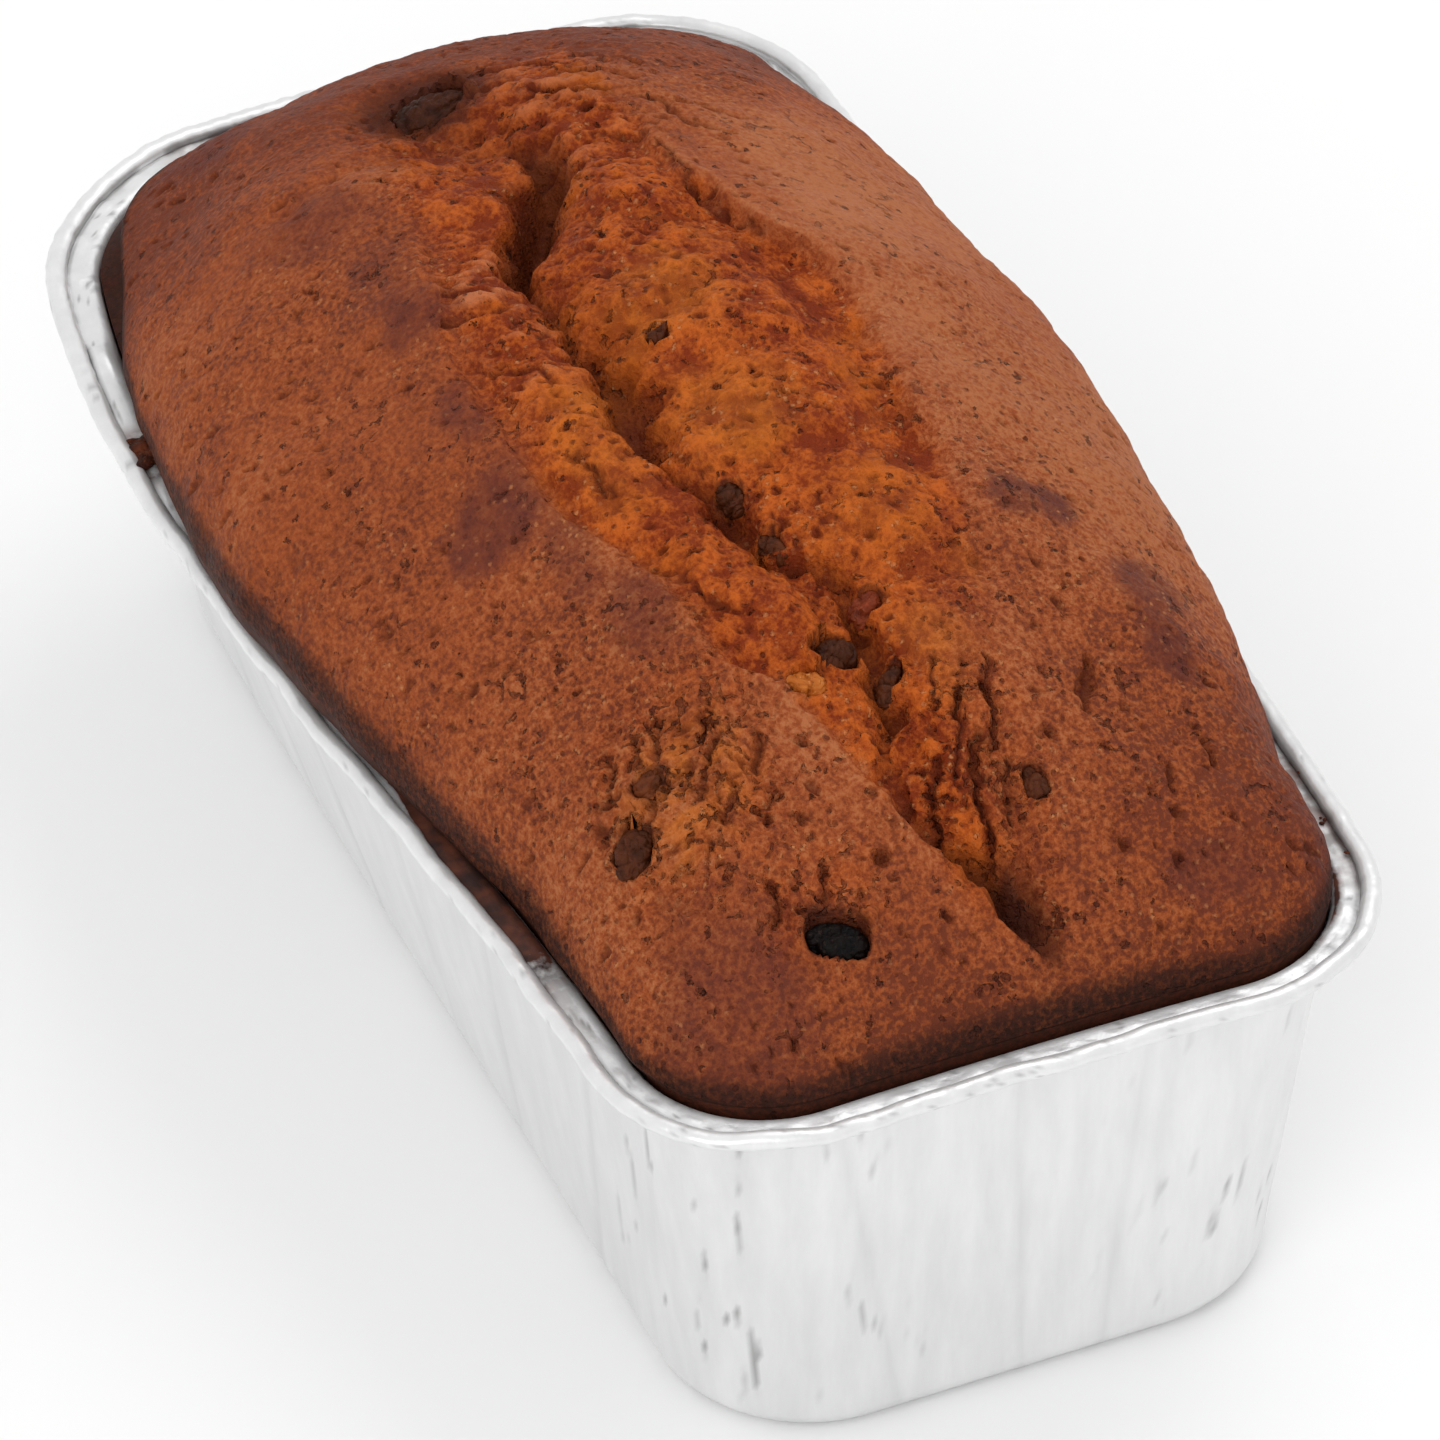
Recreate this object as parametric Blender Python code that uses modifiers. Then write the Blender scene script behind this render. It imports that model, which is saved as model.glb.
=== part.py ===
"""Fruit loaf baked in a pressed foil loaf tin, with dried fruit showing in its split top crust.

Sizes are in millimetres and scaled to metres when a mesh is made. The tin stands on z = 0.
+X is the short end with the deep slot of the crack, -Y is the long side whose rim bulges most.
"""

import math

import bmesh
import bpy
import numpy as np
from mathutils import Matrix, Vector
from mathutils.bvhtree import BVHTree

MM = 0.001

# Tin
RIM_LENGTH = 218.0
RIM_WIDTH = 104.0
RIM_HEIGHT = 61.0
RIM_CORNER = 24.3
BASE_LENGTH = 195.0
BASE_WIDTH = 80.0
BASE_CORNER = 20.0
BASE_FILLET = 3.0
RIM_REACH = 6.2
BEAD_RADIUS = 1.3
THROAT_FILLET = 1.2
FOIL = 0.4

# How far each side of the pressed rim is out of straight
LEFT_BOW = 8.4
LEFT_SKEW = -10.0
RIGHT_BOW = 2.4
FAR_BOW = 2.4
NEAR_BOW = -1.3

# Loaf
GAP = 0.45
CROWN = 37.0
EDGE_LIFT = 1.2
LEFT_OVERHANG = 4.0
LEFT_OVERHANG_SPAN = 40.0
RIGHT_OVERHANG = 6.0
RIGHT_OVERHANG_SPAN = 82.0
RIGHT_OVERHANG_MIDDLE = -6.0
ROWS_LONG = 64
ROWS_WIDE = 36

# Crack along the top: x, y of its bottom, half width, depth
CRACK = (
    (-86, -14, 5.0, 0.5),
    (-70, -11, 9.0, 6.0),
    (-56, -8, 9.0, 9.0),
    (-42, -6, 7.5, 12.0),
    (-32, -9, 6.0, 12.0),
    (-22, -15, 4.2, 9.0),
    (9, -15, 3.4, 6.5),
    (28, -12, 3.4, 6.0),
    (42, -9, 3.4, 5.5),
    (52, -4, 3.4, 5.0),
    (80, -4, 3.2, 4.5),
    (91, 2, 4.0, 7.5),
    (102, 5, 2.6, 0.5),
)
# Torn edge of the crust on each side of the crack: x, y, height of the step
RIGHT_LIP = (
    (-52, 6, 0.0),
    (-42, 9, 2.0),
    (-24, 12, 2.8),
    (-9, 20, 3.0),
    (15, 19, 2.8),
    (32, 19, 2.2),
    (52, 17, 0.8),
    (66, 15, 0.0),
)
LEFT_LIP = (
    (-44, -22, 0.0),
    (-34, -24, 1.2),
    (-9, -31, 1.8),
    (7, -30, 2.0),
    (39, -23, 2.0),
    (60, -16, 1.8),
    (81, -8, 1.2),
    (92, -5, 0.0),
)
LIP_RUN = 7.0
# Rounded swellings of the dough: x, y, half length, half width, height
SWELLINGS = (
    (-28, 2, 13, 8, 2.2),
    (-6, 3, 12, 10, 2.8),
    (16, 4, 12, 9, 2.4),
    (38, 7, 14, 8, 2.0),
    (62, 9, 12, 8, 1.4),
    (-14, -23, 11, 5, 1.2),
    (12, -22, 12, 6, 1.8),
    (36, -16, 11, 5, 1.8),
    (50, -12, 7, 5, 1.8),
    (72, -26, 14, 10, 1.6),
    (-60, 12, 16, 14, 1.4),
    (-60, -28, 16, 10, 1.2),
    (18, -36, 6, 5, 0.7),
    (-22, -33, 7, 5, 0.9),
    (43, 26, 5, 4, 0.8),
    (60, 35, 6, 5, 0.8),
    (92, 33, 6, 4, 1.0),
)

# Dried fruit: name, x, y, length, width, thickness, turn in degrees, how far its middle is below the crust
FRUIT = (
    ("raisin_front", 91.0, -21.0, 8.2, 5.4, 5.0, 70.0, 1.5),
    ("raisin_back", -73.0, -8.8, 12.5, 7.4, 6.0, 0.0, 1.4),
    ("raisin_side", 69.0, -39.0, 7.4, 6.4, 5.0, 30.0, 1.2),
    ("raisin_side_upper", 63.0, -34.5, 6.4, 4.4, 4.4, 10.0, 1.6),
    ("raisin_crack", 58.0, -7.0, 7.0, 5.4, 5.0, 60.0, 0.2),
    ("raisin_crack_lower", 63.6, -2.2, 6.0, 3.6, 3.8, 20.0, 0.2),
    ("raisin_middle", 29.5, -8.8, 5.2, 4.2, 4.0, 70.0, 0.2),
    ("raisin_middle_lower", 39.0, -7.3, 5.6, 3.6, 3.6, 80.0, 0.2),
    ("raisin_right", 82.0, 9.0, 6.0, 4.2, 4.2, 10.0, 1.2),
    ("raisin_top", 1.0, -6.5, 4.6, 3.0, 3.2, 10.0, 0.8),
    ("cherry_piece", 52.6, -0.8, 5.6, 5.0, 4.6, 0.0, 0.8),
    ("peel_piece", 61.5, -12.2, 5.4, 4.0, 3.6, 50.0, 0.4),
)
SOCKET_GAP = 0.35


def rounded_outline(half_long, half_wide, corner, on_long, on_wide, on_corner):
    """Points round a rounded rectangle, anticlockwise from the middle of the -Y side."""
    points = []
    along = half_long - corner
    across = half_wide - corner
    for turn in range(4):
        run, rise = (along, across) if turn % 2 == 0 else (across, along)
        steps = on_long if turn % 2 == 0 else on_wide
        side = [(-run + 2 * run * k / steps, -(rise + corner)) for k in range(steps)]
        bend = [
            (run + corner * math.sin(a), -(rise + corner * math.cos(a)))
            for a in (math.pi / 2 * k / on_corner for k in range(on_corner))
        ]
        c, s = ((1, 0), (0, 1), (-1, 0), (0, -1))[turn]
        points += [(c * x - s * y, s * x + c * y) for x, y in side + bend]
    return np.array(points)


def rounded_square(u, v, half_long, half_wide, corner):
    """A square of side 2 carried onto a rounded rectangle, ring by ring."""
    ring = np.maximum(np.maximum(np.abs(u), np.abs(v)), 1e-9)
    un, vn = u / ring, v / ring

    def side(t, half):
        straight = half - corner
        run = np.abs(t) * (straight + corner * math.pi / 4)
        angle = np.clip((run - straight) / corner, 0, math.pi / 4)
        return np.sign(t) * np.minimum(run, straight + corner * np.sin(angle)), corner * (1 - np.cos(angle))

    x_long, drop_long = side(un, half_long)
    y_wide, drop_wide = side(vn, half_wide)
    on_long = np.abs(v) >= np.abs(u)
    x = np.where(on_long, x_long, np.sign(un) * (half_long - drop_wide))
    y = np.where(on_long, np.sign(vn) * (half_wide - drop_long), y_wide)
    return x * ring, y * ring


def out_of_true(x, y, half_long, half_wide, share):
    """Bends an outline as the pressed rim is bent; the base is straight and has no share in it."""
    u = np.clip(x / half_long, -1, 1)
    v = np.clip(y / half_wide, -1, 1)
    left = LEFT_BOW * (1 - u**2) + LEFT_SKEW * u * (1 - u**2)
    right = RIGHT_BOW * (1 - u**2)
    end = np.where(x > 0, NEAR_BOW, -FAR_BOW) * (1 - v**2) * np.abs(u)
    return x + share * end, y + share * np.where(y > 0, right, -left) * np.abs(v)


def wall_at(height):
    """Half length, half width and corner radius of the inside of the tin at a height."""
    t = height / (RIM_HEIGHT - BEAD_RADIUS)
    top = (RIM_LENGTH / 2 - RIM_REACH, RIM_WIDTH / 2 - RIM_REACH, RIM_CORNER - RIM_REACH)
    base = (BASE_LENGTH / 2, BASE_WIDTH / 2, BASE_CORNER)
    return tuple(b + (a - b) * t for a, b in zip(top, base))


def mesh_object(name, bm, collection):
    mesh = bpy.data.meshes.new(name)
    bm.normal_update()
    if not any(edge.is_boundary for edge in bm.edges):
        bmesh.ops.recalc_face_normals(bm, faces=bm.faces)
    bmesh.ops.scale(bm, vec=(MM, MM, MM), verts=bm.verts)
    bm.to_mesh(mesh)
    bm.free()
    obj = bpy.data.objects.new(name, mesh)
    collection.objects.link(obj)
    return obj


def place(verts, x, y, z):
    for vert, *where in zip(verts, x, y, np.broadcast_to(z, x.shape)):
        vert.co = where


def extruded(bm, edges):
    """The open edges pulled out once more: their new vertices and edges, still where the old ones are."""
    pulled = bmesh.ops.extrude_edge_only(bm, edges=edges)["geom"]
    verts = [item for item in pulled if isinstance(item, bmesh.types.BMVert)]
    return verts, [item for item in pulled if isinstance(item, bmesh.types.BMEdge)]


def painted(obj, colour, roughness, metallic=0.0):
    material = bpy.data.materials.new(obj.name)
    material.use_nodes = True
    shader = material.node_tree.nodes["Principled BSDF"]
    shader.inputs["Base Color"].default_value = (*colour, 1)
    shader.inputs["Roughness"].default_value = roughness
    shader.inputs["Metallic"].default_value = metallic
    obj.data.materials.append(material)
    for polygon in obj.data.polygons:
        polygon.use_smooth = True


def build_tin(collection):
    flange = RIM_HEIGHT - BEAD_RADIUS
    sections = []

    def section(inset, height):
        half_long, half_wide, corner = wall_at(height)
        sections.append((half_long - inset, half_wide - inset, corner - inset, height, height / flange))

    for k in range(3):
        a = math.pi / 2 * k / 2
        section(BASE_FILLET * (1 - math.sin(a)), FOIL + BASE_FILLET * (1 - math.cos(a)))
    for k in (1, 2, 3):
        section(0, FOIL + BASE_FILLET + (flange - THROAT_FILLET - FOIL - BASE_FILLET) * k / 3)
    half_long, half_wide, corner = wall_at(flange)

    def rim(reach, height):
        sections.append((half_long + reach, half_wide + reach, corner + reach, height, 1.0))

    rim(THROAT_FILLET * 0.3, flange - THROAT_FILLET * 0.3)
    rim(THROAT_FILLET, flange)
    middle = RIM_REACH - BEAD_RADIUS
    for degrees in (180, 135, 90, 45, 0, -45, -90, -120):
        a = math.radians(degrees)
        rim(middle + BEAD_RADIUS * math.cos(a), flange + BEAD_RADIUS * math.sin(a))

    bm = bmesh.new()
    place_round = bm.verts.layers.int.new("place_round")
    for number, (half_long, half_wide, corner, height, share) in enumerate(sections):
        outline = rounded_outline(half_long, half_wide, corner, 14, 6, 6)
        x, y = out_of_true(outline[:, 0], outline[:, 1], half_long, half_wide, share)
        if number == 0:
            verts = [bm.verts.new((px, py, height)) for px, py in zip(x, y)]
            for k, vert in enumerate(verts):
                vert[place_round] = k
            edges = list(bm.faces.new(verts).edges)
            continue
        verts, edges = extruded(bm, edges)
        verts.sort(key=lambda vert: vert[place_round])
        place(verts, x, y, height)
    tin = mesh_object("foil_tin", bm, collection)
    thickness = tin.modifiers.new("foil", "SOLIDIFY")
    thickness.thickness = FOIL * MM
    thickness.offset = -1
    thickness.use_even_offset = True
    painted(tin, (0.80, 0.80, 0.81), 0.35, 1.0)
    return tin


def overhang(x, y):
    left = LEFT_OVERHANG * np.exp(-((x / LEFT_OVERHANG_SPAN) ** 2))
    left = left + 1.6 * np.clip(1 - (2 * x / RIM_LENGTH) ** 4, 0, 1) - np.exp(-(((x - 55) / 12) ** 2))
    reach = (x - RIGHT_OVERHANG_MIDDLE) / RIGHT_OVERHANG_SPAN
    right = RIGHT_OVERHANG * np.clip(1 - reach**2, 0, 1) ** 1.2
    return np.where(y > 0, right, np.maximum(left, 0))


def dome(x, y, half_long, half_wide, corner):
    """Share of the crown's height over a point of the flat plan."""
    past = np.maximum(np.abs(x) - (half_long - corner), 0)
    half = half_wide - corner + np.sqrt(np.maximum(corner**2 - past**2, 0))
    tx = np.clip(np.abs(x) / half_long, 0, 1)
    ty = np.clip(np.abs(y) / np.maximum(half, 1e-6), 0, 1)
    far = (1 - tx**2.1) ** (1 / 1.65)
    near = (1 - tx**2.2) ** (1 / 1.8)
    right = (1 - ty**2.6) ** (1 / 2.0)
    left = (1 - ty**2.3) ** (1 / 1.9)
    corner_fall = 1 - 0.4 * tx**2 * ty**2 * (x < 0)
    return np.where(x < 0, far, near) * np.where(y > 0, right, left) * corner_fall


def follow(x, rows, column):
    table = np.array(rows, float)
    return np.interp(x, table[:, 0], table[:, column])


def relief(x, y):
    """Height of the crack, the torn edges of the crust and the swellings, over the smooth dome."""
    height = np.zeros_like(x)
    for cx, cy, rx, ry, rise in SWELLINGS:
        height += rise * np.exp(-(((x - cx) / rx) ** 2) - ((y - cy) / ry) ** 2)
    for lip, sign in ((RIGHT_LIP, 1), (LEFT_LIP, -1)):
        out = sign * (y - follow(x, lip, 1))
        step = follow(x, lip, 2)
        edge = 1 / (1 + np.exp(-out / 0.5))
        height += step * (0.5 * edge - 0.5 * (1 - edge)) * np.exp(-((out / LIP_RUN) ** 2))
    across = np.abs(y - follow(x, CRACK, 1)) / follow(x, CRACK, 2)
    open_here = (x > CRACK[0][0]) & (x < CRACK[-1][0])
    height -= np.where(open_here, follow(x, CRACK, 3), 0) * np.exp(-(across**1.6))
    height += 0.45 * np.sin(x / 9.5 + 1.1 * np.sin(y / 8.0)) * np.cos(y / 7.0 - 0.6)
    height += 0.35 * np.sin(x / 5.2 - y / 6.3 + 1.7)
    return height


def build_loaf(collection):
    flange = RIM_HEIGHT - BEAD_RADIUS
    half_long, half_wide, corner = (side - 0.3 for side in wall_at(flange))
    bm = bmesh.new()
    across_u = bm.verts.layers.float.new("u")
    across_v = bm.verts.layers.float.new("v")
    bmesh.ops.create_grid(bm, x_segments=ROWS_LONG, y_segments=ROWS_WIDE, size=1.0)
    for vert in bm.verts:
        vert[across_u] = math.copysign(1 - (1 - min(abs(vert.co.x), 1)) ** 1.25, vert.co.x)
        vert[across_v] = math.copysign(1 - (1 - min(abs(vert.co.y), 1)) ** 1.2, vert.co.y)

    def plan(verts, half_long, half_wide, corner):
        u = np.array([vert[across_u] for vert in verts])
        v = np.array([vert[across_v] for vert in verts])
        x, y = rounded_square(u, v, half_long, half_wide, corner)
        hang = overhang(x, y) * np.clip(np.abs(y) / half_wide, 0, 1) ** 4
        return x, y, hang, np.maximum(np.abs(u), np.abs(v))

    verts = list(bm.verts)
    x, y, hang, ring = plan(verts, half_long, half_wide, corner)
    rise = dome(x, y, half_long, half_wide, corner)
    wx, wy = out_of_true(x, y + np.sign(y) * hang, half_long, half_wide, 1.0)
    edge = flange + EDGE_LIFT + 0.4 * hang + 0.1 * hang**2
    settle = np.clip((1 - ring) / 0.12, 0, 1)
    place(verts, wx, wy, edge * (1 - rise) + (RIM_HEIGHT + CROWN) * rise + relief(wx, wy) * settle)

    levels = [(0.0, flange + 0.7, 0.15, 0.55), (0.2, flange - 0.6, 0.0, 0.0)]
    under = FOIL + BASE_FILLET
    levels += [(GAP, under + (flange - 3.0 - under) * share, 0.0, 0.0) for share in (0.66, 0.33, 0.0)]
    levels += [(GAP + BASE_FILLET, FOIL + GAP, 0.0, 0.0)]
    edges = [e for e in bm.edges if e.is_boundary]
    for inset, height, tilt, out in levels:
        verts, edges = extruded(bm, edges)
        top = height > flange - 1
        a, b, c = (half_long, half_wide, corner) if top else wall_at(height)
        share = 1.0 if top else height / flange
        x, y, hang, ring = plan(verts, a - inset, b - inset, c - inset)
        x, y = out_of_true(x, y + np.sign(y) * out * hang, a - inset, b - inset, share)
        place(verts, x, y, height + tilt * hang)
    bmesh.ops.edgeloop_fill(bm, edges=edges)
    loaf = mesh_object("loaf", bm, collection)
    painted(loaf, (0.26, 0.09, 0.035), 0.62)
    return loaf


def fruit_shape(name, length, width, thickness, grow, folds, collection):
    """A dried fruit: a flattened ball with shallow folds from end to end."""
    bm = bmesh.new()
    bmesh.ops.create_uvsphere(bm, u_segments=8, v_segments=6, radius=1.0)
    for vert in bm.verts:
        side, up, along = vert.co
        fold = 1 + 0.06 * math.cos(folds * math.atan2(up, side) + 1.3) * (1 - along**2) - 0.05 * along
        vert.co = (
            along * (length / 2 + grow),
            side * (fold * width / 2 + grow),
            up * (fold * thickness / 2 + grow),
        )
    return mesh_object(name, bm, collection)


def build_fruit(loaf, collection, cutters):
    surface = BVHTree.FromPolygons(
        [v.co.copy() for v in loaf.data.vertices], [tuple(p.vertices) for p in loaf.data.polygons]
    )
    for number, (name, x, y, length, width, thickness, turn, depth) in enumerate(FRUIT):
        hits = []
        for dx, dy in ((0, 0), (3, 0), (-3, 0), (0, 3), (0, -3)):
            start = Vector(((x + dx) * MM, (y + dy) * MM, 0.2))
            hits.append(surface.ray_cast(start, Vector((0, 0, -1)))[0])
        normal = (hits[1] - hits[2]).cross(hits[3] - hits[4]).normalized()
        level = sum((h.z for h in hits), 0.0) / 5
        middle = Vector((x * MM, y * MM, min(level, hits[0].z + 0.001))) - normal * depth * MM
        turned = normal.to_track_quat("Z", "X").to_matrix() @ Matrix.Rotation(math.radians(turn), 3, "Z")
        for grow, group, label in ((0.0, collection, name), (SOCKET_GAP, cutters, name + "_socket")):
            piece = fruit_shape(label, length, width, thickness, grow, 3 + number % 3, group)
            piece.location = middle
            piece.rotation_euler = turned.to_euler()
            if group is cutters:
                piece.hide_render = True
                piece.display_type = "WIRE"
            elif name.startswith("raisin"):
                painted(piece, (0.016, 0.010, 0.009), 0.42)
            elif name.startswith("cherry"):
                painted(piece, (0.19, 0.035, 0.015), 0.4)
            else:
                painted(piece, (0.52, 0.20, 0.04), 0.4)
    cut = loaf.modifiers.new("sockets", "BOOLEAN")
    cut.operation = "DIFFERENCE"
    cut.operand_type = "COLLECTION"
    cut.collection = cutters
    cut.solver = "EXACT"


for old in list(bpy.data.objects):
    bpy.data.objects.remove(old)
body = bpy.data.collections.new("fruit_loaf")
bpy.context.scene.collection.children.link(body)
sockets = bpy.data.collections.new("sockets")
bpy.context.scene.collection.children.link(sockets)
build_tin(body)
build_fruit(build_loaf(body), body, sockets)
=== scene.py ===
"""Fruit loaf in its foil tin: the finish of the crust, the torn crumb, the dried fruit and the foil."""

import math

import bmesh
import bpy
import numpy as np
from mathutils import Matrix, Vector, noise


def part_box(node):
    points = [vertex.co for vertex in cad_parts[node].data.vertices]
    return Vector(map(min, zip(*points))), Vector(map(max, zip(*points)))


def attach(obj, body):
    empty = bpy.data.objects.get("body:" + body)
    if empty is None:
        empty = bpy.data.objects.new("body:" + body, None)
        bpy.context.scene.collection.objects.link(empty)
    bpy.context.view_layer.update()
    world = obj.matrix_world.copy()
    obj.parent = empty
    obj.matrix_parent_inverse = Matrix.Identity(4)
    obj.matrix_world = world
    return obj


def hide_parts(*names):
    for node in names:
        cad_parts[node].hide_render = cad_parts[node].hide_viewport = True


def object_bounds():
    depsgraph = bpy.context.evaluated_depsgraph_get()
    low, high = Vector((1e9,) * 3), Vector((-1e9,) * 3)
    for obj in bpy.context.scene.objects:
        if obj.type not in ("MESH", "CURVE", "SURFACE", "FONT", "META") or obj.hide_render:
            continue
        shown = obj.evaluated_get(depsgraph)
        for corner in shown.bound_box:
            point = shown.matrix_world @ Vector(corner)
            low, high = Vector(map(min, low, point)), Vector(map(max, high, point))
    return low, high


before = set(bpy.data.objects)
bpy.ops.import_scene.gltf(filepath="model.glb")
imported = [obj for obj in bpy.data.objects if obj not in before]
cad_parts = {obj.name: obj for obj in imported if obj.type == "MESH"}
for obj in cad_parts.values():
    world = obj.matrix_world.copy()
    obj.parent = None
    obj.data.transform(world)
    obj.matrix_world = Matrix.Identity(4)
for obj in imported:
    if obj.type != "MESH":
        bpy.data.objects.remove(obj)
cad_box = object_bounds()

MM = 0.001
scene = bpy.context.scene

# Named sizes of the form, in millimetres, as in the construction
RIM_LENGTH = 218.0
RIM_WIDTH = 104.0
RIM_HEIGHT = 61.0
RIM_CORNER = 24.3
BASE_LENGTH = 195.0
BASE_WIDTH = 80.0
BASE_CORNER = 20.0
BASE_FILLET = 3.0
RIM_REACH = 6.2
BEAD_RADIUS = 1.3
THROAT_FILLET = 1.2
FOIL = 0.4
LEFT_BOW = 8.4
LEFT_SKEW = -10.0
RIGHT_BOW = 2.4
FAR_BOW = 2.4
NEAR_BOW = -1.3
GAP = 0.45
CROWN = 37.0
EDGE_LIFT = 1.2
LEFT_OVERHANG = 4.0
LEFT_OVERHANG_SPAN = 40.0
RIGHT_OVERHANG = 6.0
RIGHT_OVERHANG_SPAN = 82.0
RIGHT_OVERHANG_MIDDLE = -6.0
FLANGE = RIM_HEIGHT - BEAD_RADIUS
# Quads of the crust along and across, and how far its finish lies under the solid's surface
ROWS_LONG, ROWS_WIDE = 380, 226
SKIN_DROP = 0.25

CRACK = (
    (-86, -14, 5.0, 0.5),
    (-70, -11, 9.0, 6.0),
    (-56, -8, 9.0, 9.0),
    (-42, -6, 7.5, 12.0),
    (-32, -9, 6.0, 12.0),
    (-22, -15, 4.2, 9.0),
    (9, -15, 3.4, 6.5),
    (28, -12, 3.4, 6.0),
    (42, -9, 3.4, 5.5),
    (52, -4, 3.4, 5.0),
    (80, -4, 3.2, 4.5),
    (91, 2, 4.0, 7.5),
    (102, 5, 2.6, 0.5),
)
RIGHT_LIP = (
    (-52, 6, 0.0),
    (-42, 9, 2.0),
    (-24, 12, 2.8),
    (-9, 20, 3.0),
    (15, 19, 2.8),
    (32, 19, 2.2),
    (52, 17, 0.8),
    (66, 15, 0.0),
)
LEFT_LIP = (
    (-44, -22, 0.0),
    (-34, -24, 1.2),
    (-9, -31, 1.8),
    (7, -30, 2.0),
    (39, -23, 2.0),
    (60, -16, 1.8),
    (81, -8, 1.2),
    (92, -5, 0.0),
)
LIP_RUN = 7.0
SWELLINGS = (
    (-28, 2, 13, 8, 2.2),
    (-6, 3, 12, 10, 2.8),
    (16, 4, 12, 9, 2.4),
    (38, 7, 14, 8, 2.0),
    (62, 9, 12, 8, 1.4),
    (-14, -23, 11, 5, 1.2),
    (12, -22, 12, 6, 1.8),
    (36, -16, 11, 5, 1.8),
    (50, -12, 7, 5, 1.8),
    (72, -26, 14, 10, 1.6),
    (-60, 12, 16, 14, 1.4),
    (-60, -28, 16, 10, 1.2),
    (18, -36, 6, 5, 0.7),
    (-22, -33, 7, 5, 0.9),
    (43, 26, 5, 4, 0.8),
    (60, 35, 6, 5, 0.8),
    (92, 33, 6, 4, 1.0),
)


# Features of the crust that are finer than the solid shows, as read from the photo

# The open line of the crack: x, y, half width, depth
CRACK_LINE = (
    (-58, -6.0, 1.0, 0.5),
    (-52, -2.0, 1.6, 3.5),
    (-46, -2.4, 2.3, 6.5),
    (-41, -4.2, 2.7, 8.0),
    (-34, -8.4, 3.0, 9.0),
    (-29, -12.2, 2.8, 8.5),
    (-24, -15.3, 1.8, 7.0),
    (-21, -15.2, 0.9, 3.2),
    (-15, -15.1, 0.7, 2.2),
    (-9, -14.8, 0.9, 3.0),
    (0, -14.5, 1.2, 4.0),
    (5, -13.6, 1.9, 4.6),
    (10, -13.4, 2.6, 5.0),
    (15, -13.6, 2.2, 4.6),
    (19, -15.0, 1.0, 3.4),
    (24, -13.6, 0.8, 3.0),
    (28, -10.6, 1.0, 3.2),
    (32, -9.4, 1.9, 4.2),
    (37, -9.8, 1.0, 3.4),
    (41, -9.2, 1.3, 3.8),
    (44, -4.0, 1.0, 3.0),
    (48, -1.6, 1.1, 3.6),
    (54, -2.8, 1.3, 4.2),
    (61, -2.6, 1.3, 4.4),
    (67.5, -3.8, 1.4, 4.6),
    (71, -7.0, 0.8, 2.6),
    (78.5, -7.0, 0.8, 2.6),
    (83, -4.7, 1.0, 3.4),
    (86, -2.0, 1.3, 4.2),
    (89.5, 1.4, 1.9, 5.6),
    (92.5, 2.4, 2.3, 6.6),
    (95.5, 3.2, 1.9, 5.6),
    (98.5, 4.6, 1.0, 2.4),
    (101.5, 5.6, 0.5, 0.4),
)
# The torn edges of the crust on both sides of it: x, y
RIGHT_EDGE = (
    (-80, 13.0),
    (-60, 11.0),
    (-42, 9.6),
    (-31, 10.0),
    (-24, 12.2),
    (-19, 13.3),
    (-14, 15.2),
    (-11, 18.4),
    (0, 20.2),
    (11, 19.4),
    (22, 17.4),
    (32, 18.6),
    (42, 17.6),
    (48, 16.0),
    (58, 13.8),
    (67, 12.3),
    (77, 10.5),
    (88, 9.6),
)
LEFT_EDGE = (
    (-78, -20.0),
    (-55, -21.5),
    (-41, -23.2),
    (-26, -25.6),
    (-20, -26.6),
    (-11, -29.0),
    (4, -29.8),
    (11, -29.6),
    (20, -28.2),
    (29, -26.2),
    (38, -22.4),
    (45, -21.1),
    (52, -20.4),
    (56, -18.9),
    (60, -15.4),
    (69, -12.2),
    (80, -7.6),
    (89, -5.0),
    (95, -3.3),
    (100, 2.9),
)
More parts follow.
